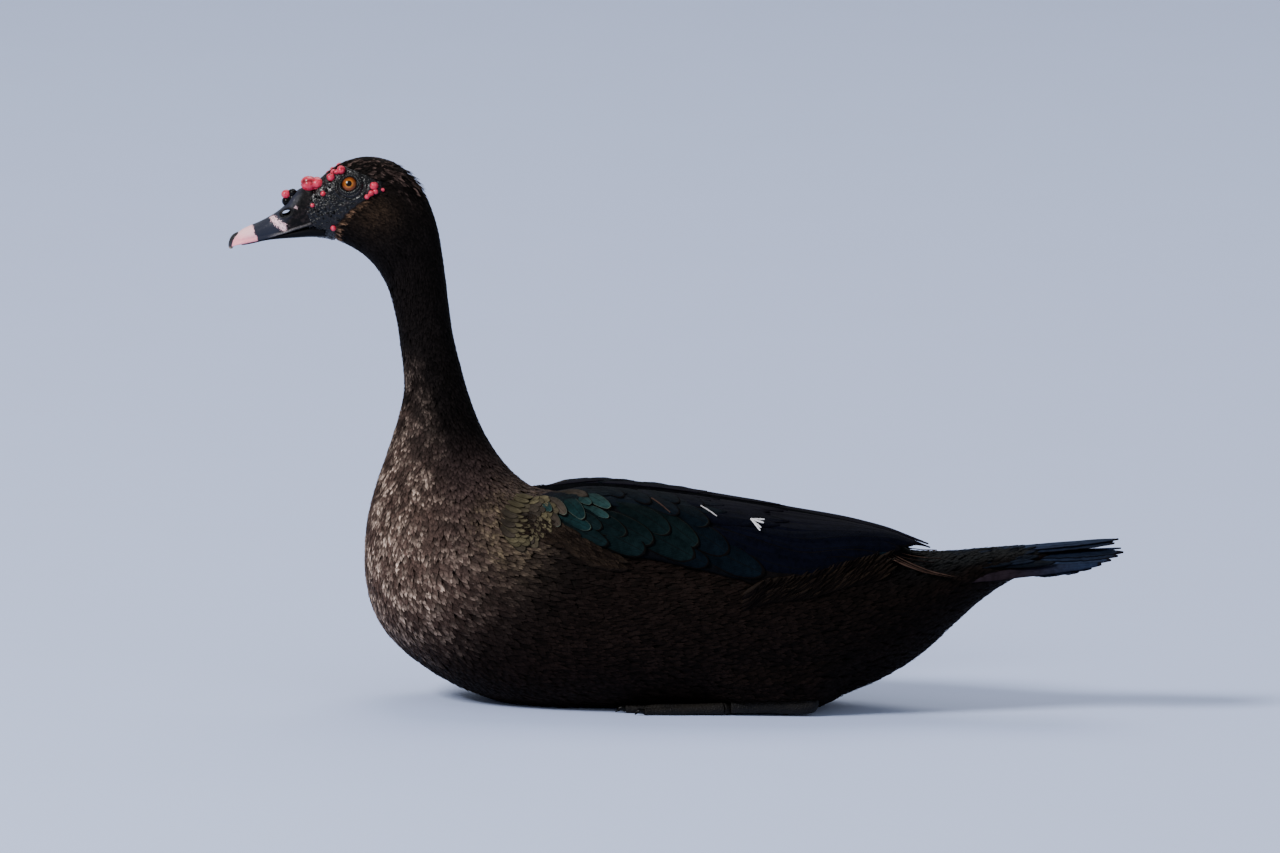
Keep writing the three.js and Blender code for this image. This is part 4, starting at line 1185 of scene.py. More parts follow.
class DUCK_OT_wings(bpy.types.Operator):
    """The folded wings: a bed, and tiers of coverts, tertials and flight feathers on it"""
    bl_idname = "duck.wings"
    bl_label = "Wings"

    BED_ALONG, BED_ACROSS = np.linspace(0.0, 0.9, 110), np.linspace(0.0, 1.0, 40)
    JITTER = 0.004  # how far places wander from their row, in shares
    SHOULDER_FRONT = -84  # in front of this the scales lie on the flesh, not on the wing
    LONG = {"outline": SCAPULAR, "grid": (44, 13)}
    TIER = {"given": "shares", "camber": 0.05, "tilt": 0.1, "stagger": 0.06, "outline": SCAPULAR,
            "grid": (30, 11), "notch": 0.06}

    def bed(self, side, name):
        """The wing's own body under its feathers, which sinks away under the flight feathers."""
        sheet = SHEETS[side]
        u, v = np.meshgrid(self.BED_ALONG, self.BED_ACROSS, indexing="ij")
        over = sheet.over(u, v, -1.3 - 6.0 * smooth(0.76, 0.9, u))
        under = sheet.on_skin(u, v, np.full(u.shape, -WING_SUNK))
        count = 2 * u.size
        share = np.stack([u, v], axis=-1).reshape(-1, 2)
        maps = {"OFBake": np.concatenate([share * [1, 0.48], share * [1, 0.48] + [0, 0.5]]),
                "Vane": np.concatenate([share, share])}
        colour = np.tile(mixed(colours().covert_deep, colours().vane_edge, 0.6), (count, 1))
        values = {"Length": np.full(count, 200.0), "Edge": np.zeros(count)}
        shell = both_faces(over, under), shell_faces(*u.shape)
        made = add_mesh(f"wing_bed_{name}", *shell, maps, colour, values)
        dress(made, material(vane_material), f"wing_{name}", slot="wing_plumage")

    def row(self, sheet, count, roots, tips, half, colour, far=None, given="flat", **more):
        """A row of feathers between two roots and two tips, each a flat x and height or a pair of shares."""
        place = {"flat": sheet.find, "shares": lambda u, v: np.array([u, v]),
                 "flesh": lambda x, z: np.array(seek(sheet.side, x=x, z=z, flat=True))}[given]
        lifts = more.get("lifts", (-1.2, 0.9))
        vanes = []
        for i in range(count):
            share = i / max(count - 1, 1)
            rng = np.random.default_rng(1000 + int(abs(roots[0][0]) * 7 + i * 13 + count * 101))
            jitter = rng.normal(0, self.JITTER, 4)
            jitter[2] += more.get("stagger", 0.0) * rng.uniform(-1, 0.4)
            root = place(*lerp(np.array(roots[0]), np.array(roots[-1]), share)) + jitter[:2]
            tip = place(*lerp(np.array(tips[0]), np.array(tips[-1]), share)) + jitter[2:]
            tone = 0.8 + 0.4 * rng.random()
            first = colour if isinstance(colour[0], float) else mixed(*colour, share)
            vanes.append({
                **more, "sheet": on_flesh if given == "flesh" else sheet, "root": root, "tip": tip,
                "half": half if np.isscalar(half) else lerp(*half, share),
                "colour": dimmed(first, tone), "far": dimmed(far or first, tone),
                "tilt": more.get("tilt", 0.35) * sheet.side,
                "lifts": (lifts[0] - 0.12 * i, lifts[1] - 0.12 * i), "seed": int(rng.integers(1e6))})
        return vanes

    def single(self, sheet, root, tip, half, colour, *far, **more):
        return self.row(sheet, 1, [root], [tip], half, colour, *far, **more)

    def shoulder(self):
        """Places of the shoulder's scales, whose tips turn down towards the flank."""
        rng = np.random.default_rng(SEEDS["shoulder"])
        c = colours()
        places = []
        for row, z in enumerate(np.arange(94, 44, -SCALE_STEP * 0.6)):
            for x in np.arange(-114, -62, SCALE_STEP) + (row % 2) * SCALE_STEP / 2:
                spot_x, spot_z = np.array([x, z]) + rng.normal(0, 0.4, 2)
                if border_distance(np.array([[spot_x, spot_z]]), SHOULDER)[0] >= 0:
                    continue
                down = math.radians(np.interp(spot_z, [50, 92], [55, 15]) + rng.normal(0, 4))
                reach = 8.5 + rng.uniform(-0.5, 0.5)
                patchy = float(cloud(np.array([[spot_x, spot_z, 0.0]]), 9.0, 41)[0])
                tone = mixed(c.covert_moss, c.covert_small, smooth(0.3, 0.7, patchy))
                tip = (spot_x + reach * math.cos(down), spot_z - reach * math.sin(down))
                places.append((spot_x, spot_z, *tip, rng.uniform(3.3, 3.8), tone))
        return places

    def sleeve(self):
        """Places of the flank's brown feathers over the wing's lower front corner."""
        rng = np.random.default_rng(SEEDS["sleeve"])
        c = colours()
        places = []
        for x in np.arange(-88, -16, 1.9):
            for row in range(6):
                z = np.interp(x, *SLEEVE) + 1.5 - row * 2.4 + rng.normal(0, 0.6)
                tone = mixed(c.coat_flank, c.sleeve_brown, rng.uniform(0, 1.6))
                tip = (x + rng.uniform(5, 8), z - rng.uniform(2, 4))
                places.append((x, z, *tip, rng.uniform(1.3, 1.9), tone))
        return places

    def hem(self, sheet):
        """Brown feathers of the flank that sweep up over the wing's lower rear edge."""
        rng = np.random.default_rng(SEEDS["hem"])
        c = colours()
        vanes = []
        for x in np.arange(70, 164, 2.4):
            for row in range(5):
                tip_x = x + rng.uniform(9, 15)
                root = (x, np.interp(x, *HEM) - 4.0 - 2.6 * row)
                tip = (tip_x, np.interp(tip_x, *HEM) - 2.6 * row + rng.normal(0, 0.8))
                half = rng.uniform(1.4, 2.1)
                tone = mixed(c.coat_flank, c.sleeve_brown, rng.uniform(-0.3, 0.9))
                vanes += self.single(sheet, root, tip, half, tone, given="flesh", edge=0.3, grid=(9, 5),
                                     lifts=(2.0 - 0.5 * row, 7.4 - 1.2 * row), outline=POINTED)
        return vanes

    def scales(self, sheet, places, heights=(-1.0, 0.9), **more):
        """Single coverts, the rearmost first, so that each lies over the next."""
        vanes = []
        for x, z, tip_x, tip_z, half, tone in places:
            on_body = min(x, tip_x) < self.SHOULDER_FRONT
            proud = 0.6 if on_body else 0.0
            tone = getattr(colours(), tone) if isinstance(tone, str) else tone
            hidden_root = (x - 0.45 * (tip_x - x), z - 0.45 * (tip_z - z))
            vanes += self.single(sheet, hidden_root, (tip_x, tip_z), half * 1.12, dimmed(tone, 0.7),
                                 dimmed(tone, 1.25), given="flesh" if on_body else "flat",
                                 lifts=(heights[0] + proud, heights[1] + proud), **more)
        return vanes

    def flight(self, sheet):
        """The flight feathers under the stray worn ones, the lowest of them painted dark as shade."""
        c = colours()
        tones = {False: tuple(c.worn), True: mixed(c.worn, c.coat_flank, 0.6)}
        vanes = []
        for root, tip, half, lifts, shaded in STRAYS:
            vanes += self.single(sheet, root, tip, half, tones[shaded], given="flesh", lifts=lifts,
                                 edge=0.2, camber=0.02, outline=POINTED, grid=(40, 9), notch=0.5)
        # the lowest flight feathers are painted almost in the flank's dark colour as shade, turning to the
        # quill colour towards the highest
        return vanes + self.row(
            sheet, 7, [(62, 44), (105, 60)], [(132, 43), (174, 55.5)], (9.0, 7.5),
            (mixed(c.coat_flank, c.quill, 0.1), tuple(c.quill)), lifts=(-1.2, 0.4), edge=0.2, **self.LONG)

    def tertials(self, sheet):
        """The long inner feathers: three that the flank shows, and five nearer the spine."""
        c = colours()
        night, plum = tuple(c.tertial), tuple(c.tertial_edge)
        return (
            self.row(sheet, 3, [(24, 70), (50, 76)], [(150, 50.5), (181, 58.5)], (9.5, 8.0), (night, night),
                     lifts=(-1.0, 0.8), edge=0.6, **self.LONG)
            + self.row(sheet, 5, [(0.42, 0.5), (0.42, 0.06)], [(0.9, 0.6), (0.985, 0.14)], (9.0, 6.0),
                       (night, plum), given="shares", lifts=(-1.0, 1.0), edge=0.6, **self.LONG))

    def scapulars(self, sheet):
        """Three tiers over the tertials' roots, the rearmost first."""
        c = colours()
        night, dusk, plum = tuple(c.tertial), tuple(c.scapular), tuple(c.tertial_edge)
        tiers = (
            (6, [(0.3, 0.42), (0.26, 0.05)], [(0.6, 0.4), (0.62, 0.07)], 9.5, night, (-1.0, 0.35), 0.25),
            (6, [(0.14, 0.42), (0.1, 0.05)], [(0.45, 0.36), (0.47, 0.07)], 8.5, dusk, (-1.0, 0.4), 0.3),
            (7, [(0.01, 0.44), (0.01, 0.05)], [(0.25, 0.36), (0.27, 0.06)], 7.0,
             mixed(dusk, c.covert_teal, 0.4), (-0.9, 0.5), 0.4),
        )
        vanes = []
        for count, roots, tips, half, tone, lifts, edge in tiers:
            pair = (tone, plum)
            vanes += self.row(sheet, count, roots, tips, half, pair, lifts=lifts, edge=edge, **self.TIER)
        return vanes

    def flecks(self, sheet):
        """The white fleck, and two fine pale lines that are painted glints along feather edges."""
        c = colours()
        white, worn = tuple(c.white_fleck), tuple(c.worn)
        vanes = []
        for tip, half in FLECK_TIPS:
            vanes += self.single(sheet, FLECK_ROOT, tip, half, white, lifts=(1.9, 2.4), edge=0.0,
                                 outline=FLARED, notch=0.5, grid=(30, 11))
        # two fine pale lines: painted glints of light along feather edges
        for root, tip, half, tone in (((38, 85.2), (51.6, 77.6), 0.16, mixed(white, worn, 0.45)),
                                     ((3.8, 89.4), (19.2, 79.3), 0.14, worn)):
            vanes += self.single(sheet, root, tip, half, tone, lifts=(1.4, 1.9), edge=0.0, outline=POINTED)
        return vanes

    def execute(self, context):
        for side, name in SIDES:
            self.bed(side, name)
            sheet = SHEETS[side]
            pieces = {
                "flight": self.flight(sheet),
                "tertials": self.tertials(sheet),
                "scapulars": self.scapulars(sheet),
                "greater_coverts": self.scales(sheet, GREATER, edge=0.9),
                "median_coverts": self.scales(sheet, MEDIAN, (-1.0, 1.1), edge=0.92),
                "lesser_coverts": self.scales(sheet, LESSER, (-1.0, 1.3), edge=1.0, grid=(14, 9)),
                "upper_coverts": self.scales(sheet, UPPER, (-1.0, 1.1), edge=0.8),
                "shoulder_scales": self.scales(sheet, self.shoulder(), (-0.6, 1.0), edge=0.6, grid=(12, 7)),
                "sleeve": self.scales(sheet, self.sleeve(), (0.0, 0.9), edge=0.3, grid=(9, 5),
                                      outline=POINTED),
                "hem": self.hem(sheet),
            }
            for piece, vanes in pieces.items():
                finish = coat_material if piece in ("sleeve", "hem") else vane_material
                large_feathers(f"{piece}_{name}", finish, vanes)
        large_feathers("white_flecks", vane_material, self.flecks(SHEETS[LEFT]))
        return {"FINISHED"}


# The tail: pairs of long feathers in a fan that falls off to both sides, and a narrow one outside them
TAIL_ROOT = (236, 58.5)
TAIL_RISE, TAIL_ARCH, TAIL_STACK, TAIL_HALF = 0.055, 0.0098, 0.4, 9.5
TAIL_TIPS = [334, 331, 337, 333, 328, 321, 314, 305, 293]  # how far back each pair reaches
TAIL_LIFTS = [5.6, 4.6, 0.6]  # how far the tips of the first pairs and of all the others rise
# rows of the coverts over the roots: how far back, and how high their tips stand
TAIL_COVERTS = [(258, 3.4), (249, 3.2), (240, 3.0), (230, 2.6), (220, 1.8), (210, 1.2)]


def tail_sheet(x, y, lift):
    x, y, lift = np.broadcast_arrays(np.asarray(x, float), np.asarray(y, float), np.asarray(lift, float))
    height = TAIL_ROOT[1] + TAIL_RISE * (x - TAIL_ROOT[0]) - TAIL_ARCH * y * y
    return np.stack([x, y, height + DRAFT + lift], axis=-1)


class DUCK_OT_tail(bpy.types.Operator):
    """The tail's long feathers, and the coverts over and under their roots"""
    bl_idname = "duck.tail"
    bl_label = "Tail"

    def long_feathers(self):
        c = colours()
        shape = {"sheet": tail_sheet, "outline": TAPERED, "grid": (40, 11), "camber": 0.03}
        vanes = []
        for pair, reach in enumerate(TAIL_TIPS):
            for side, _ in SIDES:
                order = 2 * pair + (side == RIGHT)
                rng = np.random.default_rng(SEEDS["tail"] + order)
                turn = math.tan(math.radians(0.8 + 1.9 * pair))
                root = (TAIL_ROOT[0] + 2.5 * pair, side * (1 + 1.5 * pair))
                low = -TAIL_STACK * order
                tone = rng.uniform(0.6, 1.5)
                vanes.append({
                    **shape, "root": root, "tip": (reach, root[1] + side * turn * (reach - TAIL_ROOT[0])),
                    "half": TAIL_HALF, "lifts": (low, low + TAIL_LIFTS[min(pair, 2)]), "tilt": -0.4 * side,
                    "notch": 0.16, "colour": dimmed(c.tail, tone),
                    "far": dimmed(dimmed(c.tail, tone), 0.7), "edge": 0.8, "seed": 40 + order})
        for side, _ in SIDES:
            vanes.append({
                **shape, "root": (226, side * 31), "tip": (318, side * 27.5), "half": 3.0,
                "lifts": (-7.0, -1.2), "tilt": -1.4 * side, "notch": 0.1, "colour": tuple(c.tail_rim),
                "far": tuple(c.tail), "edge": 0.2, "seed": 77 + (side == RIGHT)})
        return vanes

    def coverts(self):
        """Small feathers over the roots of the tail, and larger ones on the flesh under it."""
        c = colours()
        rng = np.random.default_rng(SEEDS["tail coverts"])
        vanes = []
        for row, (x, high) in enumerate(TAIL_COVERTS):
            for share in np.linspace(-1, 1, 9 - row % 2):
                y = share * (25 - row) + rng.normal(0, 0.8)
                reach = rng.uniform(22, 40)
                vanes.append({
                    "sheet": tail_sheet, "root": (x - 8, y), "tip": (x - 8 + reach, y * 1.12),
                    "half": rng.uniform(2.8, 4.4), "grid": (20, 9), "edge": 0.3, "outline": SCAPULAR,
                    "lifts": (-1.6, high - 0.003 * y * y), "notch": 0.06,
                    "colour": mixed(c.coat_rump, c.tail, rng.uniform(0.0, 0.35)),
                    "seed": int(rng.integers(1e6))})
        for t in np.linspace(29.0, 31.0, 3):
            for angle in math.pi + np.linspace(-1.3, 1.3, 7):
                vanes.append({
                    "sheet": on_flesh, "root": (t, angle + rng.normal(0, 0.03)),
                    "tip": (min(t + rng.uniform(1.7, 2.2), LAST - 0.03), angle), "half": 5.6,
                    "lifts": (-1.4, 0.8), "grid": (14, 7), "edge": 0.5,
                    "colour": tuple(v * rng.uniform(0.8, 1.3) for v in c.coat_flank),
                    "seed": int(rng.integers(1e6))})
        return vanes

    def execute(self, context):
        made = large_feathers("tail_feathers", vane_material, self.long_feathers())
        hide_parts("tail")
        large_feathers("tail_coverts", vane_material, self.coverts(), "plumage")
        return {"FINISHED"}


# The bill: x, height of the top, height of the edge and half width
BILL = [(-238.5, 305.2, 278, 11), (-243, 304, 276.5, 11.1), (-247.5, 302, 274.9, 11.1),
        (-251, 299.2, 273.8, 11), (-254.2, 294.6, 272.6, 10.8), (-257.5, 290.2, 271.5, 10.5),
        (-262, 286.2, 270.1, 10.2), (-268, 282.2, 268.1, 10), (-275, 278.4, 266.3, 10.6),
        (-281, 275.6, 264.9, 11.2), (-286.5, 272.6, 263.6, 10.8), (-290.5, 269.2, 262.4, 8.6),
        (-292.6, 266.4, 261.3, 5.6), (-293.4, 264.4, 260.9, 2.6)]
LOWER_BILL = [(-229, 277, 269, 11.4), (-240, 276.9, 268.8, 11.2), (-250, 274.4, 268, 10.6),
              (-260, 272, 267.1, 9.2), (-270, 269.3, 265.7, 8.4), (-280, 266.5, 263.2, 8),
              (-286.5, 264.6, 261.8, 4.6)]
# pale marks behind the slate band: two flat places and a radius. The last, by the knob, is a pale speck with
# a painted highlight of the shiny skin.
BILL_PATCH = [((-265.2, 280.9), (-262.8, 279.2), 2.0), ((-261.2, 277.4), (-257.0, 274.6), 2.4),
              ((-249.4, 289.6), (-248.6, 288.2), 0.4)]
# the nail's middle line: x, height and radius
NAIL = [(-287.8, 267.2, 5.4), (-290.5, 266.0, 4.9), (-292.5, 264.0, 3.8), (-293.8, 261.4, 2.6),
        (-294.0, 259.2, 1.4)]
NAIL_FLAT = 0.8  # its thickness as a share of its width
NOSTRIL = np.array([-256.0, 286.0])  # x and height
NOSTRIL_LONG, NOSTRIL_TALL, NOSTRIL_TILT = 7.2, 4.2, 0.42
# the dark border round the nostril is painted shade of its hollow
NOSTRIL_BAR = ((-257.6, 284.2), (-253.8, 285.9))  # the flat places between which its dark border runs
NOSTRIL_OPEN = 0.86  # the share of its oval that is cut through


def nostril_reach(x, z):
    """1 on the nostril's border, less inside it."""
    cos, sin = math.cos(NOSTRIL_TILT), math.sin(NOSTRIL_TILT)
    along = (x - NOSTRIL[0]) * cos + (z - NOSTRIL[1]) * sin
    over = (z - NOSTRIL[1]) * cos - (x - NOSTRIL[0]) * sin
    return np.hypot(along / (NOSTRIL_LONG / 2), over / (NOSTRIL_TALL / 2))


def closed_loft(rings):
    """Points and faces of a skin over closed rings, with the ends drawn in to their middles."""
    rows, columns = rings.shape[:2]
    first, last = (lerp(ring, ring.mean(axis=0), 0.98)[None] for ring in (rings[0], rings[-1]))
    rings = np.concatenate([first, rings, last])
    return rings.reshape(-1, rings.shape[-1]), grid_faces(rows + 2, columns, wrap=True)[:, ::-1]


def circle(count):
    """Angles once round, without the last."""
    return np.linspace(0, 2 * math.pi, count, endpoint=False)


def columns_of(table, rows):
    """A table's curves at that many rows, each as a column."""
    row = np.linspace(0, len(table) - 1, rows)
    return [values[:, None] for values in np.moveaxis(spline(table, row), -1, 0)]


class DUCK_OT_bill(bpy.types.Operator):
    """Upper bill with its open nostrils, lower bill, and the nail"""
    bl_idname = "duck.bill"
    bl_label = "Bill"

    def execute(self, context):
        self.upper()
        self.lower()
        self.nail()
        return {"FINISHED"}

    def upper(self):
        """An arched skin with lips, a groove to the nostrils and a flat sole."""
        x, top, edge, half = columns_of(BILL, 190)
        a = np.linspace(-math.pi / 2, math.pi / 2, 120)[None, :]
        cos = np.clip(np.cos(a), 0, 1)
        y = half * np.sign(a) * np.abs(np.sin(a)) ** 0.85
        z = edge + (top - edge) * cos**0.8
        x = np.broadcast_to(x, y.shape)
        points = np.stack([x, y, z + DRAFT], axis=-1)
        above = z - edge
        lip = 0.35 * bump_at(above, 0.9, 0.8) - 0.3 * bump_at(above, 2.8, 0.9)
        pale_lip = bump_at(above, 1.0, 0.55) * smooth(-270, -262, x)
        reach = nostril_reach(x, z)
        rim = (0.45 * bump_at(reach, 1.45, 0.3) - 0.5 * smooth(1.35, 0.9, reach)) * smooth(2, 5, np.abs(y))
        groove = -0.5 * np.exp(-((z - NOSTRIL[1] + (x - NOSTRIL[0]) * -0.4) / 2.2) ** 2)
        groove = groove * smooth(-255, -262, x) * smooth(-281, -272, x)
        ripple = (cloud(points, 2.4, 31) - 0.5) * 0.35 * smooth(-262, -250, x)
        points[..., 1] += np.sign(y) * (lip + rim * 0.8 + groove + ripple * 0.6) * smooth(0, 3, np.abs(y))
        points[..., 2] += (ripple + rim * 0.3) * cos
        sole_y = np.linspace(1, -1, 24)[None, 1:-1] * half
        sole = np.stack([np.broadcast_to(x[:, :1], sole_y.shape), sole_y,
                         np.broadcast_to(edge + DRAFT + 0.6, sole_y.shape)], axis=-1)
        marks = closed_loft(np.concatenate([pale_lip, np.zeros(sole_y.shape)], axis=1)[..., None])[0]
        skin = closed_loft(np.concatenate([points, sole], axis=1))
        bill = add_mesh("upper_bill", *skin, values={"Lip": marks})
        self.pierce(bill)
        dress(bill, material(horn_material), "bill_upper", slot="horn")

    def lower(self):
        x, top, edge, half = columns_of(LOWER_BILL, 90)
        a = circle(64)[None, :]
        rise = np.sign(np.cos(a)) * np.abs(np.cos(a)) ** 0.7
        y = (half + 0.45) * np.sin(a)
        z = (top + edge) / 2 + (top - edge) / 2 * rise
        rings = np.stack([np.broadcast_to(x, y.shape), y, z + DRAFT], axis=-1)
        bill = add_mesh("lower_bill", *closed_loft(rings))
        dress(bill, material(lower_bill_material), "bill_lower", slot="horn")

    def nail(self):
        """Rings square to the nail's own curved middle line."""
        turn = circle(48)
        beads = spline(NAIL, np.linspace(0, len(NAIL) - 1, 40))
        slope = np.gradient(beads[:, :2], axis=0)
        slope /= np.linalg.norm(slope, axis=1, keepdims=True)
        x, z, radius = (beads[:, None, k] for k in range(3))
        run, fall = slope[:, None, 0], slope[:, None, 1]
        rings = np.stack([x - fall * radius * np.cos(turn) * NAIL_FLAT, radius * np.sin(turn),
                          z + run * radius * np.cos(turn) * NAIL_FLAT + DRAFT], axis=-1)
        nail = add_mesh("nail", *closed_loft(rings))
        dress(nail, material(nail_material), "bill_nail", slot="nail")

    def pierce(self, bill):
        """Cuts the nostrils through."""
        turn = circle(40)
        cos, sin = math.cos(NOSTRIL_TILT), math.sin(NOSTRIL_TILT)
        along = NOSTRIL_LONG / 2 * np.cos(turn) * NOSTRIL_OPEN
        over = NOSTRIL_TALL / 2 * np.sin(turn) * NOSTRIL_OPEN
        rings = [np.stack([NOSTRIL[0] + along * cos - over * sin, np.full(turn.shape, y),
                           NOSTRIL[1] + along * sin + over * cos + DRAFT], axis=-1) for y in (-20.0, 20.0)]
        cutter = add_mesh("cutter", *closed_loft(np.array(rings)))
        cut = bill.modifiers.new("nostrils", "BOOLEAN")
        cut.object = cutter
        cut.operation = "DIFFERENCE"
        cut.solver = "EXACT"
        graph = bpy.context.evaluated_depsgraph_get()
        mesh = bpy.data.meshes.new_from_object(bill.evaluated_get(graph))
        bill.modifiers.clear()
        bill.data = mesh
        mesh.polygons.foreach_set("use_smooth", [True] * len(mesh.polygons))
        bpy.data.objects.remove(cutter)


# Bulbs of bare skin: flat x, height and radius on either side
FACE_BULBS = [(-225.2, 310.3, 3.0), (-223.5, 314.2, 2.0), (-221.0, 314.3, 1.9), (-218.1, 315.6, 3.0),
              (-230.1, 299.1, 1.9), (-237.5, 290.7, 1.5), (-222.4, 275.3, 2.0), (-194.9, 305.2, 3.0),
              (-196.7, 300.1, 2.0), (-193.8, 301.4, 1.8), (-199.6, 297.5, 1.8), (-188.7, 302.7, 1.3),
              (-198.3, 298.4, 1.3)]
DARK_BULBS = [(-241.5, 298.0, 1.3), (-244.0, 297.2, 1.1), (-235.4, 297.2, 1.0), (-233.2, 296.6, 0.9),
              (-228.0, 301.5, 1.1), (-226.0, 303.6, 0.9), (-222.6, 286.0, 0.9), (-224.4, 283.4, 0.8),
              (-219.2, 281.0, 0.9), (-226.6, 285.4, 0.8), (-228.8, 288.0, 0.8), (-231.0, 284.5, 0.7),
              (-233.6, 286.4, 0.7), (-236.2, 288.0, 0.8), (-229.6, 281.6, 0.7), (-238.8, 294.6, 0.9)]
FOREHEAD = [(-240.8, 2.9, 306.0, 5.8), (-234.9, 3.4, 306.2, 5.0), (-240.8, -2.9, 306.0, 5.8),
            (-234.9, -3.4, 306.2, 5.0)]
KNOB_RED = [(-256.3, 0.0, 298.2, 3.6)]
KNOB_DARK = [(-251.9, 1.0, 299.4, 3.2), (-251.9, -1.0, 299.4, 3.2), (-255.2, 0.0, 293.4, 4.0),
             (-252.0, 0.0, 295.4, 4.4), (-247.2, 1.2, 299.6, 1.5), (-247.2, -1.2, 299.6, 1.5)]


BULB_DEPTH = 0.92  # a bulb's depth as a share of its width


def bulb(centre, radius, axis, seed, rings=22, turns=32):
    """One lumpy bulb: points and faces, and how deep each point lies in a crease."""
    down = np.linspace(0.02, math.pi - 0.02, rings)[:, None]
    turn = circle(turns)[None, :]
    ball = np.stack([np.sin(down) * np.cos(turn), np.sin(down) * np.sin(turn),
                     np.broadcast_to(np.cos(down), (rings, turns))], axis=-1)
    seeded = ball * radius + np.array([seed * 17.3, seed * 5.1, seed * 9.7])
    lumps = (cloud(seeded, radius * 1.3, seed) - 0.5) * 0.16
    crease = bump_at(cloud(seeded, radius * 1.7, seed + 50), 0.5, 0.035)
    axis = np.asarray(axis, float) / np.linalg.norm(axis)
    points = ball * (radius * (1 + lumps - 0.11 * crease))[..., None]
    points = points - (1 - BULB_DEPTH) * (points @ axis)[..., None] * axis
    return (points + centre).reshape(-1, 3), grid_faces(rings, turns, wrap=True)[:, ::-1], crease.reshape(-1)


def gather(parts):
    """Several parts as one mesh, with what they give for each point after their faces."""
    offsets = np.cumsum([0] + [len(part[0]) for part in parts[:-1]])
    points, faces, *values = zip(*parts)
    faces = [part + offset for part, offset in zip(faces, offsets)]
    return [np.concatenate(rows) for rows in (points, faces, *values)]


class DUCK_OT_caruncles(bpy.types.Operator):
    """Red and black bulbs of the bill's base, the forehead and round the eyes"""
    bl_idname = "duck.caruncles"
    bl_label = "Caruncles"

    def add(self, name, finish, parts, *nodes):
        points, faces, crease = gather(parts)
        made = add_mesh(name, points, faces, values={"Crease": crease})
        dress(made, material(finish), *nodes, slot="caruncle")

    def on_face(self, side, places, seed):
        """Bulbs that stand out of the flesh at flat places."""
        parts = []
        for i, (x, z, radius) in enumerate(places):
            point, normal, _, _ = flesh_frame(*seek(side, x=x, z=z, flat=True))
            parts.append(bulb(point + normal * radius * 0.38, radius, normal, seed + i))
        return parts

    def placed(self, places, seed):
        """Bulbs at x, y and height, finer because they are the largest."""
        return [bulb(np.array([x, y, z + DRAFT]), radius, (0, 0, 1), seed + i, 30, 44)
                for i, (x, y, z, radius) in enumerate(places)]

    def execute(self, context):
        for side, name in SIDES:
            self.add(f"caruncles_{name}", caruncle_material, self.on_face(side, FACE_BULBS, 3))
            self.add(f"dark_bumps_{name}", glossy_skin_material, self.on_face(side, DARK_BULBS, 60))
        self.add("forehead_bulbs", caruncle_material, self.placed(FOREHEAD, 31), "forehead_caruncle")
        self.add("knob_front", caruncle_material, self.placed(KNOB_RED, 41), "bill_knob")
        self.add("knob_root", glossy_skin_material, self.placed(KNOB_DARK, 47))
        return {"FINISHED"}


class DUCK_OT_eyes(bpy.types.Operator):
    """Eyeballs with a pupil and a rayed iris, and the lids round them"""
    bl_idname = "duck.eyes"
    bl_label = "Eyes"

    # reach from the eye's middle and lift over the flesh, from the lid's inner edge outwards
    LID = [(4.9, 0.2), (5.15, 1.15), (5.5, 1.5), (6.2, 1.7), (6.9, 1.55), (7.4, 0.95), (7.9, 1.1), (8.6, 0.6),
           (9.4, -0.2)]

    def execute(self, context):
        for side, name in SIDES:
            self.ball(side, name)
            self.lid(side, name)
        return {"FINISHED"}

    def ball(self, side, name):
        """A ball round the eye's own axis, densest in front, with each point's distance from the axis."""
        point, normal, _, _ = tangents(side)
        centre = point - normal * math.sqrt(EYE_BALL**2 - EYE_OPENING**2)
        first = np.cross(normal, [0, 0, 1.0])
        first /= np.linalg.norm(first)
        second = np.cross(normal, first)
        down = np.concatenate([np.linspace(0.002, 1.1, 90), np.linspace(1.15, math.pi - 0.01, 24)])[:, None]
        turn = circle(128)[None, :]
        across = (np.sin(down) * np.cos(turn))[..., None] * first
        across = across + (np.sin(down) * np.sin(turn))[..., None] * second
        ball = across + np.cos(down)[..., None] * normal
        radius = np.sin(down) * EYE_BALL * np.ones_like(turn)
        shown = radius * np.where(down > 1.5, 9, 1)  # the back of the ball is past the iris
        ray_place = np.stack([np.cos(turn) * 9, np.sin(turn) * 9, np.zeros_like(turn)], axis=-1)
        ray = cloud(ray_place, 1.0, 77) * np.ones_like(down)
        faces = grid_faces(down.size, turn.size, wrap=True)[:, ::-1]
        made = add_mesh(f"eyeball_{name}", centre + ball * EYE_BALL, faces,
                        values={"Radius": shown * IRIS * MM / sizes().iris, "Ray": ray})
        dress(made, material(eye_material), f"eye_{name}", slot="eye")

    def lid(self, side, name):
        """Both lids as one ring. Turn 0 is the rear corner, and the upper lid comes next."""
        _, _, per_t, per_angle = tangents(side)
        seat_t, seat_angle = EYE_SEAT[side]
        turn = circle(160)[None, :]
        out, lift = columns_of(self.LID, 44)
        rear = bump_at(np.angle(np.exp(1j * (turn + 0.15))), 0, 0.42)
        front = bump_at(np.angle(np.exp(1j * (turn - math.pi))), 0, 0.4)
        reach = out + rear * 1.3 * smooth(9.0, 5.0, out) + front * 0.6 * smooth(9.0, 5.0, out)
        lift = lift - 0.35 * rear * smooth(8, 5, out)
        wrinkle = 0.14 * np.sin(turn * 34 + out * 3) * smooth(5.6, 6.4, reach) * smooth(9.2, 7.6, reach)
        t = seat_t + reach * np.cos(turn) / per_t
        angle = seat_angle - side * reach * np.sin(turn) / per_angle
        faces = grid_faces(*t.shape, wrap=True)
        stretch = bump_at(reach, 7.9, 0.3) * smooth(0.1, -0.5, np.sin(turn)) + smooth(8.2, 9.2, reach) * 0.5
        made = add_mesh(f"lid_{name}", on_flesh(t, angle, lift + wrinkle),
                        faces if side == LEFT else faces[:, ::-1], values={"Stretch": stretch})
        dress(made, material(lid_material), slot="caruncle")


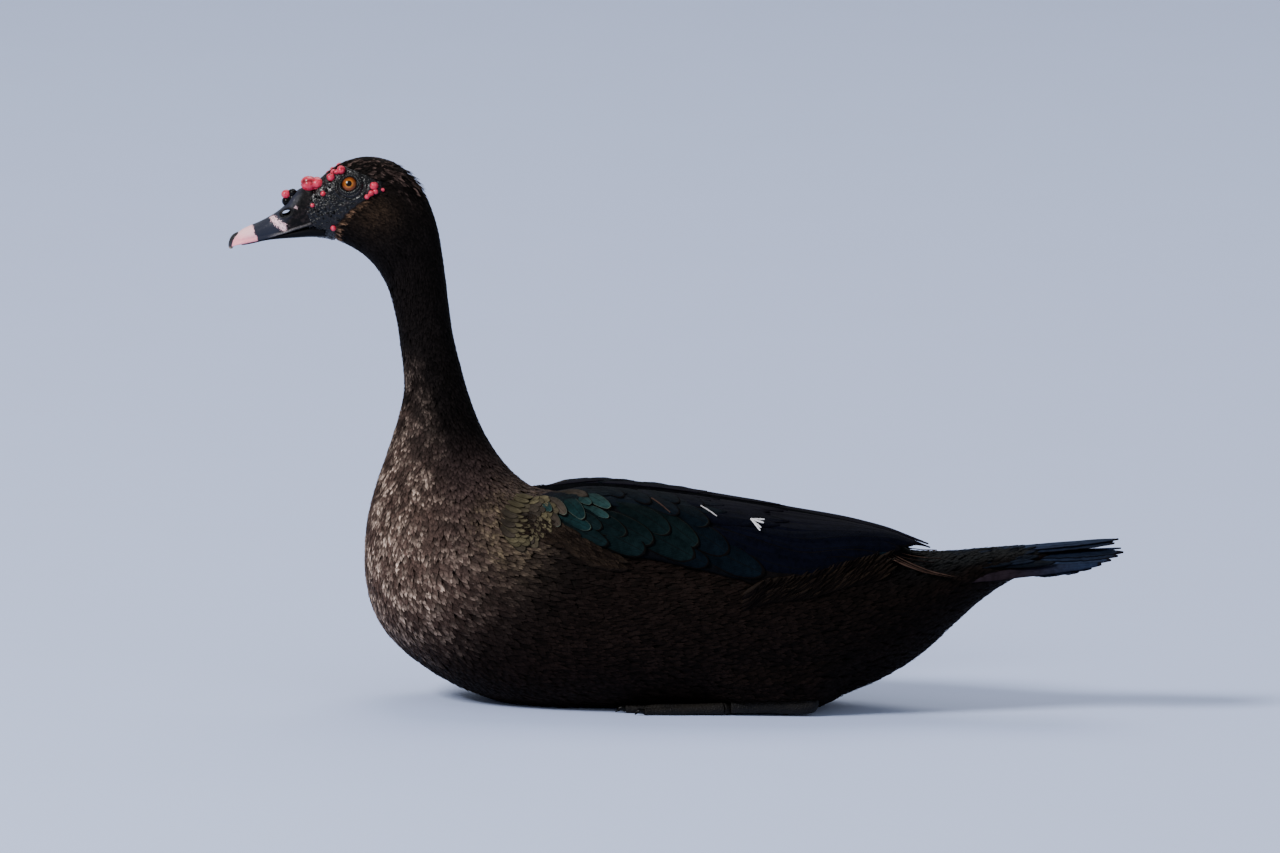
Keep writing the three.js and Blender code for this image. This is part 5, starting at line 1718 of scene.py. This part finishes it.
# The legs: x, y, height and radius of their joints
KNEE, HOCK, ANKLE = (92, 46, 34, 9), (116, 53, 7.4, 5.6), (62, 59, 6, 4.4)
TOES = [(-10, (34, 22), 3.2), (0, (42, 26), 3.4), (10, (40, 22), 3.2)]  # turn, lengths of two bones, radius
CLAW = 7
HIND_TOE = (12, 7)  # how far it reaches back and inwards
SOLE = 0.1  # the lowest that a foot comes to the floor
WEB_THICK = 0.7


def tube(path, turns=28, rings=60, knuckles=0.0, seed=0):
    """A smooth closed tube through x, y, height and radius, with scutes along its top."""
    spine = spline(path, np.linspace(0, len(path) - 1, rings))
    centre, radius = spine[:, :3], spine[:, 3]
    heading = np.gradient(centre, axis=0)
    heading /= np.linalg.norm(heading, axis=1, keepdims=True)
    side = np.cross(heading, [0, 0, 1.0])
    side /= np.linalg.norm(side, axis=1, keepdims=True)
    over = np.cross(side, heading)
    turn = circle(turns)
    ring = side[:, None] * np.cos(turn)[None, :, None] + over[:, None] * np.sin(turn)[None, :, None]
    length = np.concatenate([[0], np.cumsum(np.linalg.norm(np.diff(centre, axis=0), axis=1))])
    scutes = knuckles * np.abs(np.sin(length * 1.1))[:, None] * np.clip(np.sin(turn), 0, 1)[None, :]
    grain = (cloud(centre[:, None] + ring * radius[:, None, None], 1.2, seed) - 0.5) * 0.25
    points = centre[:, None] + ring * (radius[:, None] + scutes + grain)[..., None]
    points[..., 2] = np.maximum(points[..., 2], SOLE)
    return closed_loft(points)


class DUCK_OT_legs(bpy.types.Operator):
    """Legs folded under the belly, webbed feet with their soles on the floor, and claws"""
    bl_idname = "duck.legs"
    bl_label = "Legs and feet"

    def add(self, name, finish, parts, *nodes):
        made = add_mesh(name, *gather(parts))
        dress(made, material(finish), *nodes, slot="foot_skin")

    def execute(self, context):
        for side, name in SIDES:
            self.add(f"shank_{name}", foot_material, [self.shank(side)], f"leg_{name}")
            toes, claws, webs = self.foot(side)
            self.add(f"toes_{name}", foot_material, toes, f"foot_{name}")
            self.add(f"webs_{name}", foot_material, webs)
            self.add(f"claws_{name}", glossy_skin_material, claws)
        return {"FINISHED"}

    def shank(self, side):
        """The leg from the knee down to the hock and forward to the ankle."""
        knee, hock, ankle = (np.array([x, side * y, z, r]) for x, y, z, r in (KNEE, HOCK, ANKLE))
        bend = np.array([hock[0] + 1.5, hock[1], hock[2] + 0.5, hock[3] * 1.04])
        path = [knee, lerp(knee, bend, 0.6), bend, lerp(hock, ankle, 0.5), ankle]
        return tube(path, 36, 110, 0.25, 5)

    def foot(self, side):
        """Toes, claws and the webs between the toes."""
        joint = np.array([ANKLE[0] - ANKLE[3] - 1, side * ANKLE[1], 4.4, 4.3])
        ground = joint * [1, 1, 0, 0]
        toes, claws, ends = [], [], []
        for turn, (first, second), radius in TOES:
            heading = np.array([-math.cos(math.radians(turn)), -side * math.sin(math.radians(turn)), 0, 0])
            middle = ground + heading * first + [0, 0, radius, radius]
            end = ground + heading * (first + second) + [0, 0, radius * 0.8, radius * 0.72]
            toes.append(tube([joint, lerp(joint, middle, 0.5) - [0, 0, 0, 0.5], middle,
                              lerp(middle, end, 0.5) - [0, 0, 0, 0.4], end], 24, 80, 0.3, 9))
            ends.append((middle, end))
            tip = end + heading * CLAW
            claws.append(tube([end - [0, 0, 0, 0.4], lerp(end, tip, 0.5) + [0, 0, 0.7, -0.9],
                               np.array([tip[0], tip[1], 0.5, 0.25])], 16, 24))
        back = joint + [HIND_TOE[0], -side * HIND_TOE[1], -1.8, -2.6]
        toes.append(tube([joint, lerp(joint, back, 0.6), back], 20, 30, 0.2, 4))
        return toes, claws, [self.web(joint, a, b) for a, b in zip(ends, ends[1:])]

    def web(self, joint, first, second):
        """A thin skin between two toes, drawn in at its free edge."""
        rows, columns = 40, 24
        s = np.linspace(0.06, 1, rows)[:, None, None]
        w = np.linspace(0, 1, columns)[None, :, None]

        def toe(points):
            middle, end = (p[:3] for p in points)
            start = joint[:3]
            return np.where(s < 0.6, lerp(start, middle, s / 0.6), lerp(middle, end, (s - 0.6) / 0.4))

        sheet = lerp(toe(first), toe(second), w)
        sag = np.sin(math.pi * w)
        pull = sheet + (joint[:3] - sheet) * 0.1 * sag * s**3
        wave = 0.35 * np.sin(s * 40 + np.sin(w * 9) * 2) * sag
        pull[..., 2] = (1.6 + wave - 0.5 * sag)[..., 0]
        return both_faces(pull, pull - np.array([0, 0, WEB_THICK])), shell_faces(rows, columns)


# The stage. The view's angles are degrees, its distance and the width it takes in are metres
FLOOR_REACH = 40000
TARGET = np.array([-4.1, 0.0, 194.6])
VIEW_TURN, VIEW_RISE, VIEW_ROLL = 3.0, 7.0, 1.7
VIEW_DISTANCE, VIEW_WIDTH, SENSOR = 16.0, 0.896, 36.0
LAMP_TARGET = (0, 0, 0.15)
SKY, SKY_STRENGTH = (0.84, 0.9, 1.0), 0.42


class DUCK_OT_stage(bpy.types.Operator):
    """Pale floor, soft lights, and the camera at the photograph's angle"""
    bl_idname = "duck.stage"
    bl_label = "Stage"

    # place, size and power of each soft light
    LIGHTS = [((-5.0, -3.7, 5.0), 2.1, 730.0), ((3.9, -5.7, 3.1), 5.2, 62.0), ((0.4, 4.2, 5.7), 4.0, 170.0)]

    def execute(self, context):
        scene = context.scene
        target = Vector(TARGET * MM + ORIGIN)
        turn, rise = math.radians(VIEW_TURN), math.radians(VIEW_RISE)
        away = Vector((-math.sin(turn) * math.cos(rise), -math.cos(turn) * math.cos(rise), math.sin(rise)))
        camera = bpy.data.objects.new("camera", bpy.data.cameras.new("camera"))
        camera.data.sensor_width = SENSOR
        camera.data.lens = SENSOR * VIEW_DISTANCE / VIEW_WIDTH
        camera.data.clip_end = 100.0
        facing = (-away).to_track_quat("-Z", "Y").to_matrix()
        roll = Matrix.Rotation(math.radians(VIEW_ROLL), 3, "Z")
        camera.matrix_world = Matrix.Translation(target + away * VIEW_DISTANCE) @ (facing @ roll).to_4x4()
        scene.collection.objects.link(camera)
        scene.camera = camera
        for i, (place, size, power) in enumerate(self.LIGHTS):
            lamp = bpy.data.objects.new(f"light_{i}", bpy.data.lights.new(f"light_{i}", "AREA"))
            lamp.data.size = size
            lamp.data.energy = power
            lamp.location = place
            lamp.rotation_euler = (Vector(LAMP_TARGET) - Vector(place)).to_track_quat("-Z", "Y").to_euler()
            scene.collection.objects.link(lamp)
        world = bpy.data.worlds.new("studio")
        world.use_nodes = True
        sky = world.node_tree.nodes["Background"].inputs
        sky["Color"].default_value = (*SKY, 1.0)
        sky["Strength"].default_value = SKY_STRENGTH
        scene.world = world
        self.floor()
        return {"FINISHED"}

    def floor(self):
        """A plain floor all round the bird."""
        across = np.linspace(-FLOOR_REACH, FLOOR_REACH, 21)
        x, y = np.meshgrid(across, across, indexing="ij")
        made = add_mesh("floor", np.stack([x, y, np.zeros_like(x)], axis=-1), grid_faces(*x.shape)[:, ::-1])
        made.data.materials.append(material(floor_material))


OPERATORS = (DUCK_OT_skin, DUCK_OT_coat, DUCK_OT_wings, DUCK_OT_tail, DUCK_OT_bill, DUCK_OT_caruncles,
             DUCK_OT_eyes, DUCK_OT_legs, DUCK_OT_stage)


class DUCK_PT_pieces(bpy.types.Panel):
    """Buttons that build the bird piece by piece, with its sizes and colours"""
    bl_label = "Muscovy duck"
    bl_idname = "DUCK_PT_pieces"
    bl_space_type = "VIEW_3D"
    bl_region_type = "UI"
    bl_category = "Duck"

    def draw(self, context):
        for operator in OPERATORS:
            self.layout.operator(operator.bl_idname)
        for group in (context.scene.duck_sizes, context.scene.duck_colours):
            box = self.layout.box()
            for name in group.bl_rna.properties.keys():
                if name not in ("rna_type", "name"):
                    box.prop(group, name)


CLASSES = (DuckColours, DuckSizes, *OPERATORS, DUCK_PT_pieces)


def register():
    for item in CLASSES:
        bpy.utils.register_class(item)
    bpy.types.Scene.duck_colours = bpy.props.PointerProperty(type=DuckColours)
    bpy.types.Scene.duck_sizes = bpy.props.PointerProperty(type=DuckSizes)


def unregister():
    del bpy.types.Scene.duck_sizes
    del bpy.types.Scene.duck_colours
    for item in reversed(CLASSES):
        bpy.utils.unregister_class(item)


def main():
    register()
    for operator in OPERATORS:
        name = operator.bl_idname.split(".")[1]
        getattr(bpy.ops.duck, name)()


if __name__ == "__main__":
    main()
